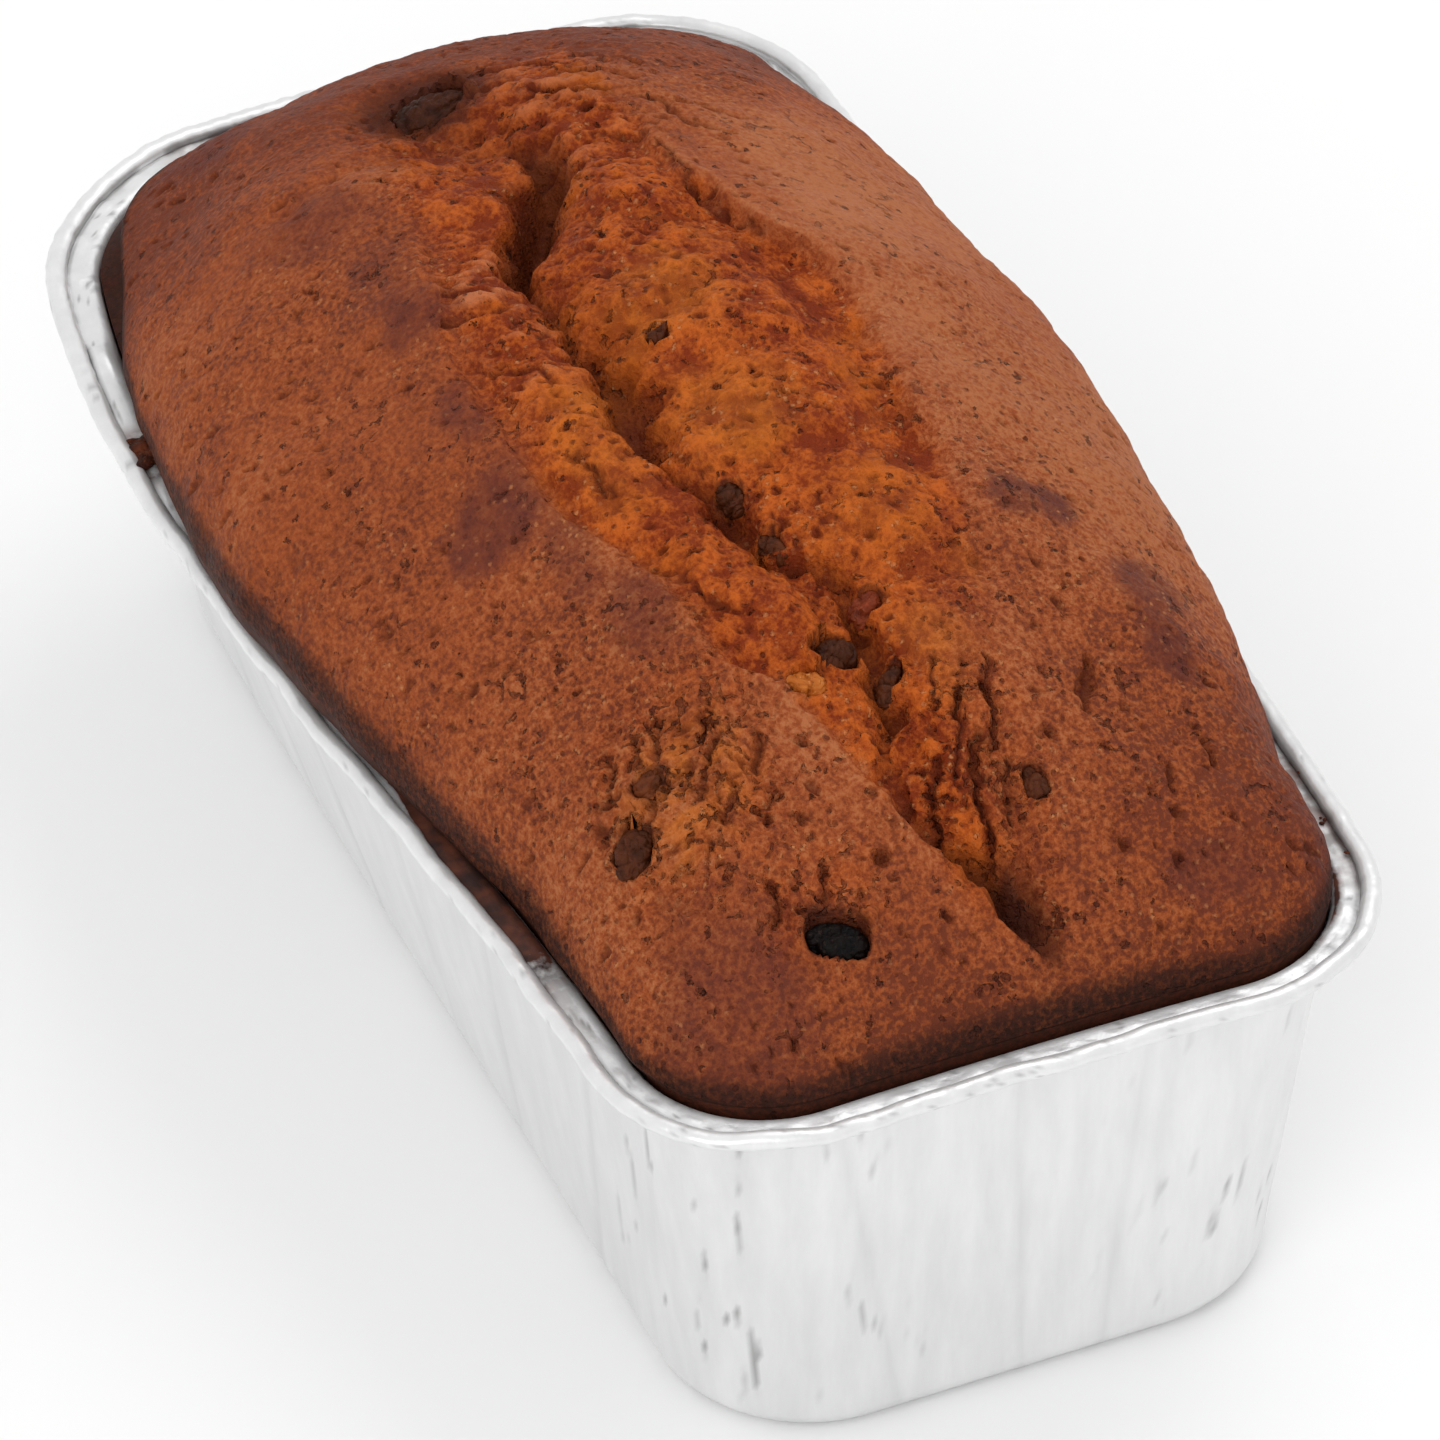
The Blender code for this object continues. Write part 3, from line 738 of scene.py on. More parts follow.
def crust_surface(half_long, half_wide, corner):
    """The crust down to its edge: points, masks, and each point's place in the grid and overhang."""
    u = np.linspace(-1, 1, ROWS_LONG + 1)
    v = np.linspace(-1, 1, ROWS_WIDE + 1)
    u, v = (np.sign(t) * (1 - (1 - np.abs(t)) ** 1.25) for t in (u, v))
    uu, vv = (grid.ravel() for grid in np.meshgrid(u, v, indexing="ij"))
    x, y = rounded_square(uu, vv, half_long, half_wide, corner)
    side = np.clip(np.abs(y) / half_wide, 0, 1)
    hang = overhang(x, y) * side**4 + 0.4 * rough(x / 11.0, np.sign(y) * 7.0, 113, 2) * side**14
    hang = np.maximum(hang, 0)
    rise = dome(x, y, half_long, half_wide, corner)
    wx, wy = out_of_true(x, y + np.sign(y) * hang, half_long, half_wide, 1.0)
    wx, wy = shift_crust(wx, wy)
    edge = FLANGE + EDGE_LIFT + 0.4 * hang + 0.1 * hang**2
    ring = np.maximum(np.abs(uu), np.abs(vv))
    height, fine, masks = crust_form(wx, wy)
    wz = edge * (1 - rise) + (RIM_HEIGHT + CROWN) * rise + height * np.clip((1 - ring) / 0.12, 0, 1)
    shape = (ROWS_LONG + 1, ROWS_WIDE + 1)
    grid = np.stack([wx, wy, wz], 1).reshape(*shape, 3)
    normal = np.cross(np.gradient(grid, axis=0), np.gradient(grid, axis=1))
    normal /= np.maximum(np.linalg.norm(normal, axis=2, keepdims=True), 1e-9)
    settle = np.clip((1 - ring) / 0.012, 0, 1)
    points = (grid + normal * (fine * settle).reshape(*shape, 1)).reshape(-1, 3)

    for place in holes:
        middle, reach, _ = place
        d = hole_distance(points[:, 0], points[:, 1], *place)
        floor = middle.z - reach.z * np.sqrt(np.clip(1 - d**2, 0.0, 1)) - 0.4
        points[:, 2] = np.where(d < 0.86, np.minimum(points[:, 2], floor), points[:, 2])
    top = cad_box[1][2] / MM - 0.6
    over = points[:, 2] - top
    points[:, 2] = np.where(over > 0, top + 0.5 * np.tanh(over / 0.5), points[:, 2])

    masks["tone"], masks["stain"], masks["glow"] = tone_of(wx, wy, ring)
    # A near-black band at the crust's rim, wider at the ends and along the left: darker-baked crust with
    # painted shade where the crust meets the tin.
    band = 0.008 * step_up(np.abs(wx), 90, 100)
    band += 0.010 * (wy < 0) * step_up(wx, -38, -26) * (1 - step_up(wx, 62, 74))
    rim = step_up(ring, 0.991 - band, 0.999 - 0.1 * band)
    masks["edge"] = np.maximum(0.15 * step_up(ring, 0.95, 0.99), rim)
    return points, masks, uu, vv, hang


def make_loaf():
    half_long, half_wide, corner = (side - 0.3 for side in wall_at(FLANGE))
    points, masks, uu, vv, hang = crust_surface(half_long, half_wide, corner)
    points = [tuple(p) for p in points]
    wide = ROWS_WIDE + 1
    faces = [
        (i * wide + j, (i + 1) * wide + j, (i + 1) * wide + j + 1, i * wide + j + 1)
        for i in range(ROWS_LONG)
        for j in range(ROWS_WIDE)
    ]
    border = [i * wide for i in range(ROWS_LONG)]
    border += [ROWS_LONG * wide + j for j in range(ROWS_WIDE)]
    border += [i * wide + ROWS_WIDE for i in range(ROWS_LONG, 0, -1)]
    border += list(range(ROWS_WIDE, 0, -1))
    bu, bv, bhang = uu[border], vv[border], hang[border]
    rings = [border]
    under = FOIL + BASE_FILLET
    # Rings from the edge down to the underside: inset, height, rise and reach for each mm of overhang
    levels = (
        (0.0, FLANGE + 0.95, 0.28, 0.85),
        (0.0, FLANGE + 0.7, 0.15, 0.55),
        (0.2, FLANGE - 0.6, 0.0, 0.0),
        (GAP, under + (FLANGE - 3.0 - under) * 0.6, 0.0, 0.0),
        (GAP, under, 0.0, 0.0),
        (GAP + BASE_FILLET, FOIL + GAP, 0.0, 0.0),
    )
    for inset, height, tilt, out in levels:
        top = height > FLANGE - 1
        a, b, c = (half_long, half_wide, corner) if top else wall_at(height)
        share = 1.0 if top else height / FLANGE
        rx, ry = rounded_square(bu, bv, a - inset, b - inset, c - inset)
        rx, ry = out_of_true(rx, ry + np.sign(ry) * out * bhang, a - inset, b - inset, share)
        if height > FLANGE:
            rx, ry = shift_crust(rx, ry)
        start = len(points)
        points += [tuple(p) for p in np.stack([rx, ry, height + tilt * bhang], 1)]
        rings.append(list(range(start, start + len(border))))
    count = len(border)
    for upper, lower in zip(rings, rings[1:]):
        faces += [
            (upper[k], lower[k], lower[(k + 1) % count], upper[(k + 1) % count]) for k in range(count)
        ]
    points.append((0.0, 0.0, FOIL + GAP))
    last = rings[-1]
    faces += [(last[(k + 1) % count], last[k], len(points) - 1) for k in range(count)]

    mesh = bpy.data.meshes.new("loaf_crust")
    mesh.from_pydata((np.array(points) * MM).tolist(), [], faces)
    # The sides and underside, down in the tin, take the full edge value and a low tone: painted shade.
    for name, values in masks.items():
        full = np.full(len(points), {"edge": 1.0, "tone": 0.1}.get(name, 0.0))
        full[: len(values)] = values
        add_values(mesh, name, full)
    mesh.update()
    return add_object(mesh)


# Mesh objects

def add_values(mesh, name, values):
    """One value for each vertex, which the material reads by this name."""
    mesh.attributes.new(name, "FLOAT", "POINT").data.foreach_set("value", values)


def add_object(mesh):
    for polygon in mesh.polygons:
        polygon.use_smooth = True
    obj = bpy.data.objects.new(mesh.name, mesh)
    scene.collection.objects.link(obj)
    return obj


# Materials

class Nodes:
    """A short way of writing a node tree."""

    def __init__(self, name):
        self.material = bpy.data.materials.new(name)
        self.material.use_nodes = True
        self.tree = self.material.node_tree
        self.shader = self.tree.nodes["Principled BSDF"]
        self.coords = self.tree.nodes.new("ShaderNodeTexCoord").outputs["Object"]

    def link(self, source, target):
        if isinstance(source, bpy.types.NodeSocket):
            self.tree.links.new(source, target)
        elif isinstance(source, tuple):
            alpha = (1,) * (len(target.default_value) - len(source))
            target.default_value = source + alpha
        else:
            target.default_value = source

    def node(self, kind, output, inputs, **settings):
        """The named output of a new node, after its settings and inputs are made."""
        node = self.tree.nodes.new("ShaderNode" + kind)
        for name, value in settings.items():
            setattr(node, name, value)
        for name, source in inputs.items():
            self.link(source, node.inputs[name])
        return node.outputs[output]

    def attribute(self, name):
        return self.node("Attribute", "Fac", {}, attribute_name=name)

    def noise(self, scale, detail=4.0, rough=0.55, stretch=None, distortion=0.0):
        place = self.coords
        if stretch:
            place = self.node("Mapping", "Vector", {"Scale": stretch, "Vector": place})
        inputs = {"Scale": scale, "Detail": detail, "Roughness": rough, "Distortion": distortion}
        return self.node("TexNoise", "Fac", {**inputs, "Vector": place})

    def voronoi(self, scale, feature="F1", vector=None):
        inputs = {"Scale": scale, "Vector": vector or self.coords}
        return self.node("TexVoronoi", "Distance", inputs, feature=feature)

    def warped(self, scale, amount):
        """The coordinates, shifted by noise."""
        shift = self.node("TexNoise", "Color", {"Scale": scale, "Vector": self.coords})
        inputs = {0: shift, 1: (amount, amount, amount), 2: self.coords}
        return self.node("VectorMath", "Vector", inputs, operation="MULTIPLY_ADD")

    def ramp(self, value, low, high, to_low=0.0, to_high=1.0):
        inputs = {"From Min": low, "From Max": high, "To Min": to_low, "To Max": to_high}
        return self.node("MapRange", "Result", {**inputs, "Value": value})

    def math(self, operation, a, b):
        return self.node("Math", 0, {0: a, 1: b}, operation=operation)

    def times(self, a, b):
        return self.math("MULTIPLY", a, b)

    def plus(self, a, b):
        return self.math("ADD", a, b)

    def mix(self, factor, a, b):
        return self.node("Mix", "Result", {"Factor": factor, "A": a, "B": b}, data_type="RGBA")

    def bump(self, height, distance, strength, below=None):
        inputs = {"Distance": abs(distance), "Strength": strength, "Height": height}
        if below is not None:
            inputs["Normal"] = below
        return self.node("Bump", "Normal", inputs, invert=distance < 0)

    def set(self, name, source):
        self.link(source, self.shader.inputs[name])


def srgb(r, g, b):
    """Linear colour of an 8-bit display colour."""
    return tuple(
        c / 12.92 if c <= 0.04045 else ((c + 0.055) / 1.055) ** 2.4 for c in (r / 255, g / 255, b / 255)
    )


def spots(n, distance, inner, outer, where):
    """Round spots at scattered points, only where the last value lets them through."""
    return n.times(n.ramp(distance, inner, outer, 1.0, 0.0), where)


def crust_colour(n, tone, coarse, grain, mottle, broad):
    tone = n.plus(tone, n.ramp(mottle, 0.3, 0.7, -0.16, 0.16))
    tone = n.plus(tone, n.times(n.ramp(grain, 0.36, 0.64, -0.42, 0.42), coarse))
    tone = n.plus(tone, n.ramp(broad, 0.35, 0.65, -0.08, 0.08))
    # The tone's painted light and shade become paler and darker crust here.
    crust = n.mix(n.ramp(tone, 0.0, 0.5), srgb(108, 49, 28), srgb(151, 74, 35))
    crust = n.mix(n.ramp(tone, 0.5, 1.0), crust, srgb(172, 102, 62))
    stained = n.times(n.attribute("stain"), n.ramp(mottle, 0.3, 0.7, 1.0, 0.5))
    return n.mix(stained, crust, srgb(92, 42, 33))


def crumb_colour(n, grain, mottle, broad):
    lump = n.attribute("lump")
    # Raised crumb paler and hollows darker, following the lump relief: painted light and shade.
    tone = n.plus(n.ramp(mottle, 0.3, 0.7, 0.1, 0.8), n.ramp(lump, 0.15, 0.85, -0.45, 0.45))
    tone = n.plus(tone, n.ramp(n.noise(125, 2.0), 0.38, 0.62, -0.24, 0.16))
    tone = n.plus(tone, n.ramp(grain, 0.36, 0.64, -0.38, 0.38))
    crumb = n.mix(tone, srgb(122, 43, 9), srgb(188, 90, 28))
    crumb = n.mix(n.ramp(broad, 0.52, 0.70, 0.0, 0.6), crumb, srgb(170, 86, 14))
    # Pinkish painted highlights on the tops of the flakes.
    crumb = n.mix(n.times(n.attribute("leaf"), n.ramp(lump, 0.5, 0.95)), crumb, srgb(190, 112, 72))
    glow = n.times(n.attribute("glow"), n.ramp(mottle, 0.3, 0.65, 0.2, 1.0))
    return n.mix(glow, crumb, srgb(204, 116, 38))


def crust_material():
    n = Nodes("crust")
    tone, coarse = n.attribute("tone"), n.attribute("coarse")
    grain = n.noise(1250, 3.0, 0.65)
    mottle = n.noise(230, 4.0, 0.62)
    broad = n.noise(52, 3.0, 0.5)
    crust = crust_colour(n, tone, coarse, grain, mottle, broad)
    colour = n.mix(n.attribute("torn"), crust, crumb_colour(n, grain, mottle, broad))

    # The dark dots, pores and fine cracks below are dents in the bump with painted shade in them.
    sparse = n.ramp(n.noise(170, 3.0), 0.50, 0.62)
    dark_dot = n.times(spots(n, n.voronoi(760), 0.14, 0.34, sparse), coarse)
    colour = n.mix(n.times(dark_dot, 0.75), colour, srgb(84, 32, 16))
    ragged = n.ramp(n.noise(2400, 2.0), 0.3, 0.7, -0.10, 0.10)
    sparse = n.ramp(n.noise(120, 3.0, stretch=(1.0, 1.1, 1.0)), 0.44, 0.56)
    pore = spots(n, n.plus(n.voronoi(340, vector=n.warped(700, 0.0022)), ragged), 0.10, 0.19, sparse)
    colour = n.mix(n.times(pore, 0.75), colour, srgb(70, 26, 12))
    # Light specks on small raised bumps: painted highlights, stronger where the tone is paler.
    sparse = n.ramp(n.noise(140, 3.0, stretch=(1.0, 1.0, 1.1)), 0.46, 0.60)
    light_dot = spots(n, n.plus(n.voronoi(700), ragged), 0.12, 0.30, sparse)
    light_dot = n.times(light_dot, n.times(coarse, n.ramp(tone, 0.05, 0.4, 0.3, 1.0)))
    colour = n.mix(n.times(light_dot, 0.60), colour, srgb(208, 134, 84))
    # The crack, the far hollow and the crack's near end darken with painted shade.
    colour = n.mix(n.times(n.attribute("groove"), 0.78), colour, srgb(72, 28, 11))
    # Painted shade in the pores, holes, gaps and splits.
    colour = n.mix(n.times(n.attribute("pit"), 0.72), colour, srgb(74, 26, 10))
    apart = n.voronoi(330, "DISTANCE_TO_EDGE", vector=n.warped(520, 0.0030))
    crumbling = n.times(n.attribute("crumbly"), n.ramp(n.noise(420, 3.0), 0.50, 0.60))
    elsewhere = n.times(n.ramp(n.noise(110, 3.0), 0.55, 0.64), n.ramp(n.noise(480, 2.0), 0.52, 0.60))
    elsewhere = n.times(elsewhere, coarse)
    cracks = spots(n, apart, 0.03, 0.10, n.math("MAXIMUM", crumbling, elsewhere))
    colour = n.mix(n.times(cracks, 0.68), colour, srgb(64, 22, 9))
    # The crust's rim and its sides in the tin go near-black: darker-baked crust with painted shade over it.
    edge = n.times(n.attribute("edge"), n.ramp(grain, 0.35, 0.65, 0.98, 0.75))
    colour = n.mix(edge, colour, srgb(42, 20, 13))
    # Painted shade round the fruit and in the far hollow.
    colour = n.mix(n.times(n.attribute("socket"), 0.8), colour, srgb(60, 24, 14))
    n.set("Base Color", colour)
    n.set("Roughness", n.ramp(mottle, 0.3, 0.7, 0.58, 0.75))
    n.shader.inputs["Specular IOR Level"].default_value = 0.12
    relief = (
        (n.times(grain, coarse), 0.0006, 0.9),
        (dark_dot, -0.0004, 0.8),
        (pore, -0.0007, 0.9),
        (cracks, -0.0008, 0.9),
        (light_dot, 0.0003, 0.8),
        (n.noise(520, 3.0, 0.6), 0.0005, 0.6),
    )
    normal = None
    for height, distance, strength in relief:
        normal = n.bump(height, distance, strength, below=normal)
    n.set("Normal", normal)
    return n.material


def fruit_material(name, dark, light, speck, gloss):
    n = Nodes(name)
    folds = n.noise(520, 3.0, 0.6, distortion=0.6)
    # Darker in the hollows of the folds and lighter on their ridges: painted shade and light.
    body = n.mix(n.ramp(folds, 0.35, 0.7), dark, light)
    body = n.mix(n.ramp(n.noise(1900, 2.0), 0.62, 0.72), body, speck)
    film = n.times(n.attribute("dusty"), n.ramp(n.noise(430, 4.0, 0.6), 0.34, 0.6, 0.45, 1.0))
    n.set("Base Color", n.mix(film, body, srgb(112, 56, 28)))
    n.set("Roughness", n.ramp(folds, 0.3, 0.7, gloss, gloss + 0.2))
    n.shader.inputs["Specular IOR Level"].default_value = 0.10
    n.set("Normal", n.bump(folds, 0.0008, 0.9))
    return n.material


def foil_material():
    n = Nodes("foil")
    stain = n.attribute("stain")
    # Paler and darker vertical streaks in the foil's colour: painted reflections of the wall's soft
    # undulations.
    streak = n.noise(240, 4.0, 0.6, stretch=(1.0, 1.0, 0.18))
    colour = n.mix(n.ramp(streak, 0.3, 0.7), (0.755, 0.755, 0.76), (0.845, 0.845, 0.845))
    # Painted shade in the creases, pleats and folds, and the painted reflection of the crust in the
    # flange's outer fold.
    colour = n.mix(n.times(n.attribute("crease_shade"), 0.8), colour, (0.16, 0.155, 0.155))
    # Browned batter, and in the band under the loaf's overhang painted shadow as well.
    burnt_and_shade = n.mix(n.ramp(n.noise(260, 3.0), 0.35, 0.65), srgb(52, 26, 20), srgb(110, 58, 38))
    patchy = n.plus(n.times(stain, n.ramp(n.noise(330, 4.0), 0.3, 0.55)), n.ramp(stain, 0.7, 1.4))
    patchy = n.math("MINIMUM", patchy, 1.0)
    n.set("Base Color", n.mix(patchy, colour, burnt_and_shade))
    bare = n.ramp(patchy, 0.0, 1.0, 0.72, 0.0)
    n.set("Metallic", n.times(bare, n.ramp(n.attribute("rim"), 0.0, 1.0, 1.0, 0.55)))
    n.set("Roughness", n.plus(n.ramp(streak, 0.3, 0.7, 0.30, 0.42), n.times(patchy, 0.3)))
    roll = n.bump(n.noise(1400, 2.0, 0.5, stretch=(1.0, 1.0, 0.12)), 0.00006, 0.5)
    n.set("Normal", n.bump(n.noise(210, 4.0, 0.6), 0.0005, 0.30, below=roll))
    return n.material


# Tin

def outline_steps(half_long, half_wide, corner, on_long, on_wide, on_corner):
    """Points round a rounded rectangle, and how far into a corner each is."""
    points, bends = [], []
    along, across = half_long - corner, half_wide - corner
    for turn in range(4):
        run, rise = (along, across) if turn % 2 == 0 else (across, along)
        steps = on_long if turn % 2 == 0 else on_wide
        side = [(-run + 2 * run * k / steps, -(rise + corner)) for k in range(steps)]
        bend = [
            (run + corner * math.sin(a), -(rise + corner * math.cos(a)))
            for a in (math.pi / 2 * k / on_corner for k in range(on_corner))
        ]
        c, s = ((1, 0), (0, 1), (-1, 0), (0, -1))[turn]
        points += [(c * x - s * y, s * x + c * y) for x, y in side + bend]
        bends += [0.0] * steps + [math.sin(math.pi * k / on_corner) ** 0.5 for k in range(on_corner)]
    return np.array(points), np.array(bends)


# Steps round the tin: along a long side, along a short side, in a corner
OUTLINE_STEPS = (150, 66, 40)
# The way round the rim, and that length over two pi
WAY_ROUND = 620.0
WAY_RADIUS = 98.7
WALL_ROWS = 30
BEAD_MIDDLE = RIM_REACH - BEAD_RADIUS
# Long folds down the walls: place on the way round, lean, depth
FOLDS = tuple(
    (18.0 + 23.7 * k + 7.0 * math.sin(3.1 * k), 5.0 * math.sin(5.3 * k), 0.4 + 0.6 * (k * 0.37 % 1))
    for k in range(26)
)
# Browned places of the flange: x, y, half lengths, strength
BROWNED = ((-48, -59, 6, 5, 1.0), (-107, -18, 6, 14, 0.8), (68, 52, 22, 6, 0.7))


def tin_sections():
    """Outlines from the base up to the end of the bead: half lengths, corner, height, share, kind."""
    sections = []

    def wall(inset, height):
        a, b, c = wall_at(height)
        sections.append((a - inset, b - inset, c - inset, height, height / FLANGE, "wall"))

    def rim(reach, height, kind):
        a, b, c = wall_at(FLANGE)
        sections.append((a + reach, b + reach, c + reach, height, 1.0, kind))

    for k in range(5):
        angle = math.pi / 2 * k / 4
        wall(BASE_FILLET * (1 - math.sin(angle)), FOIL + BASE_FILLET * (1 - math.cos(angle)))
    for k in range(1, WALL_ROWS + 1):
        wall(0, FOIL + BASE_FILLET + (FLANGE - THROAT_FILLET - FOIL - BASE_FILLET) * k / WALL_ROWS)
    rim(THROAT_FILLET * 0.3, FLANGE - THROAT_FILLET * 0.3, "flange")
    for k in range(8):
        reach = THROAT_FILLET + (BEAD_MIDDLE - BEAD_RADIUS - 0.15 - THROAT_FILLET) * k / 7
        rim(reach, FLANGE - 0.25 * (k / 7) ** 3, "flange")
    for k in range(15):
        angle = math.radians(180 - 300 * k / 14)
        rim(BEAD_MIDDLE + BEAD_RADIUS * math.cos(angle), FLANGE + BEAD_RADIUS * math.sin(angle), "bead")
    return sections


def facets(around, width, row, seed):
    """How far inside a flat facet of crumpled foil, and a draw for that facet."""
    first, second, who = cells(around / width, np.full_like(around, row), seed)
    return second - first, who


def wall_relief(x, y, out, around, near_corner, height):
    """Pleats at the corners, long folds and soft dents, with painted shade in the pleats and folds."""
    up = height / FLANGE
    ax, ay = 90 * np.cos(around / WAY_RADIUS), 90 * np.sin(around / WAY_RADIUS)
    pleat = rough(around / 2.1, np.full_like(x, height / 34.0), 201, 3)
    sharp = 1 - np.abs(pleat)
    soft = rough(ax / 22, ay / 22 + height / 60, 207, 3)
    fade = step_up(up, 0.04, 0.18)
    push = -fade * near_corner * (0.30 * sharp**3 + 0.10 * np.abs(pleat))
    push -= fade * 0.22 * (1 - near_corner) * (0.5 + 0.5 * soft)
    gate = rough(around / 3.1, np.full_like(x, height / 13.0), 211, 3)
    crease_shade = near_corner * fade * step_up(sharp, 0.90, 1.0) * step_up(gate, 0.05, 0.4)
    long_fold = np.zeros(len(x))
    for at, lean, deep in FOLDS:
        long_fold = np.maximum(long_fold, deep * bell(around - at, lean * up, 1.1))
    push -= 0.35 * fade * long_fold * (1 - near_corner)
    crease_shade = np.maximum(crease_shade, 0.16 * long_fold * (1 - near_corner))
    return x + out[0] * push, y + out[1] * push, np.full(len(x), height), crease_shade, np.zeros(len(x))


def flange_relief(x, y, around, near_corner, height, reach):
    """Facets of the flange, its bump at the far left, and the painted shade in its creases and in the
    groove before the bead, with the painted reflection of the crust near its outer edge.
    """
    facet = facets(around, 4.4, reach / 3.6 + 3, 221)[0]
    small, who = facets(around, 1.9, reach / 2.2 + 9, 225)
    amount = step_up(reach, 0.2, 1.6) * (0.7 + 0.3 * near_corner)
    z = height - amount * (0.50 - 0.42 * np.clip(facet, 0, 1) - 0.2 * np.clip(small, 0, 1))
    z = z + 1.1 * step_up(reach, 0.4, 1.4) * bell(x, -69, 3.4, 4) * (y < 0) * (0.6 + 0.6 * facet)
    broken = rough(around / 7.0, np.full_like(x, reach / 3), 223, 3)
    crease_shade = 0.9 * step_up(reach, 3.0, 3.3) * step_up(broken, -0.25, 0.2)
    crease_shade = np.maximum(crease_shade, 0.75 * (1 - step_up(facet, 0.0, 0.07)) * step_up(who, 0.45, 0.6))
    crease_shade = np.maximum(crease_shade, step_up(reach, 2.2, 3.0) * painted_crust_reflection(x, y))
    return x, y, z, crease_shade, flange_stain(x, y, reach)


def bead_relief(x, y, out, around, height, reach):
    """Dents and crumples of the rolled bead, with painted shade in its crumple lines and inner groove and
    the painted reflection of the crust on its inner side.
    """
    dent = rough(around / 9.0, np.full_like(x, 5.0), 229, 2)
    facet, who = facets(around, 3.2, 0.4 * height, 227)
    crumple = np.clip(facet, 0, 1)
    push = 0.16 + 0.22 * dent - 0.26 * (0.5 - crumple)
    push = np.minimum(-0.02, push - 0.42)
    x, y = x + out[0] * push, y + out[1] * push
    rise_share = (height - (FLANGE - BEAD_RADIUS)) / (2 * BEAD_RADIUS)
    z = height - rise_share * (0.35 + 0.25 * dent + 0.25 * (0.5 - crumple))
    inner = step_up((BEAD_MIDDLE - reach) / BEAD_RADIUS, 0.8, 1.0)
    crease_shade = 0.9 * inner * step_up(rough(around / 7.0, np.full_like(x, 1.1), 223, 3), -0.25, 0.2)
    crease_shade = np.maximum(crease_shade, 0.5 * (1 - step_up(crumple, 0.0, 0.05)) * (who > 0.5))
    crease_shade = np.maximum(crease_shade, inner * painted_crust_reflection(x, y))
    return x, y, z, crease_shade, 0.6 * inner * flange_stain(x, y, 3.0)


def make_tin():
    rows, creases, stains, rims = [], [], [], []
    for half_long, half_wide, corner, height, share, kind in tin_sections():
        outline, bend = outline_steps(half_long, half_wide, corner, *OUTLINE_STEPS)
        x, y = out_of_true(outline[:, 0], outline[:, 1], half_long, half_wide, share)
        ahead = np.roll(np.stack([x, y], 1), -1, axis=0) - np.roll(np.stack([x, y], 1), 1, axis=0)
        ahead /= np.linalg.norm(ahead, axis=1, keepdims=True)
        out = (ahead[:, 1], -ahead[:, 0])
        around = np.arange(len(x)) / len(x) * WAY_ROUND
        near_corner = np.convolve(np.r_[bend[-25:], bend, bend[:25]], np.ones(51) / 38, "valid")
        near_corner = np.clip(near_corner, 0, 1)
        reach = half_long - wall_at(FLANGE)[0]
        if kind == "wall":
            made = wall_relief(x, y, out, around, near_corner, height)
        elif kind == "flange":
            made = flange_relief(x, y, around, near_corner, height, reach)
        else:
            made = bead_relief(x, y, out, around, height, reach)
        rows.append(np.stack(made[:3], 1))
        creases.append(made[3])
        stains.append(made[4])
        rims.append(np.full(len(x), 0.0 if kind == "wall" else 1.0))

    count = len(rows[0])
    faces = [tuple(range(count))]
    for ring in range(len(rows) - 1):
        low, high = ring * count, (ring + 1) * count
        faces += [(low + k, high + k, high + (k + 1) % count, low + (k + 1) % count) for k in range(count)]
    mesh = bpy.data.meshes.new("foil_tin_skin")
    mesh.from_pydata((np.concatenate(rows) * MM).tolist(), [], faces)
    for name, values in (("crease_shade", creases), ("stain", stains), ("rim", rims)):
        add_values(mesh, name, np.concatenate(values))
    obj = add_object(mesh)
    thickness = obj.modifiers.new("foil", "SOLIDIFY")
    thickness.thickness = 0.25 * MM
    thickness.offset = -1
    return obj


def painted_crust_reflection(x, y):
    """Where a painted reflection of the dark crust above darkens the flange's outer fold."""
    return bell(x, 80, 20, 4) * (y > 36)


def flange_stain(x, y, reach):
    """Where baked batter has browned the flange, and the band under the loaf's overhang, which is browned
    batter with painted shadow over it.
    """
    stain = np.zeros(len(x))
    for cx, cy, rx, ry, strength in BROWNED:
        stain = np.maximum(stain, strength * patch(x, y, cx, cy, rx, ry, 4))
    run = 1.5 + 2.6 * step_up(x, 18, 44) + 0.5 * rough(x / 5.0, np.full(len(x), 2.0), 233, 2)
    # The band under the loaf's overhang on the left and on the right: partly browned batter, partly painted
    # shadow.
    under = bell(x, 10, 58, 8) * (y < -36) * (1 - step_up(reach, run - 0.5, run + 0.3))
    under = np.maximum(under, 0.8 * bell(x, 60, 42, 8) * (y > 36) * (1 - step_up(reach, 0.6, 1.6)))
    return np.maximum(stain * step_up(reach, 0.0, 0.6), 1.6 * under)


# Fruit

# How much of each raisin the crumb has filmed over
DUSTY = {
    "raisin_front": 0.0,
    "raisin_back": 0.35,
    "raisin_side": 0.5,
    "raisin_side_upper": 0.9,
    "raisin_crack": 0.4,
    "raisin_crack_lower": 0.5,
    "raisin_middle": 0.5,
    "raisin_middle_lower": 0.65,
    "raisin_right": 0.6,
    "raisin_top": 0.75,
}


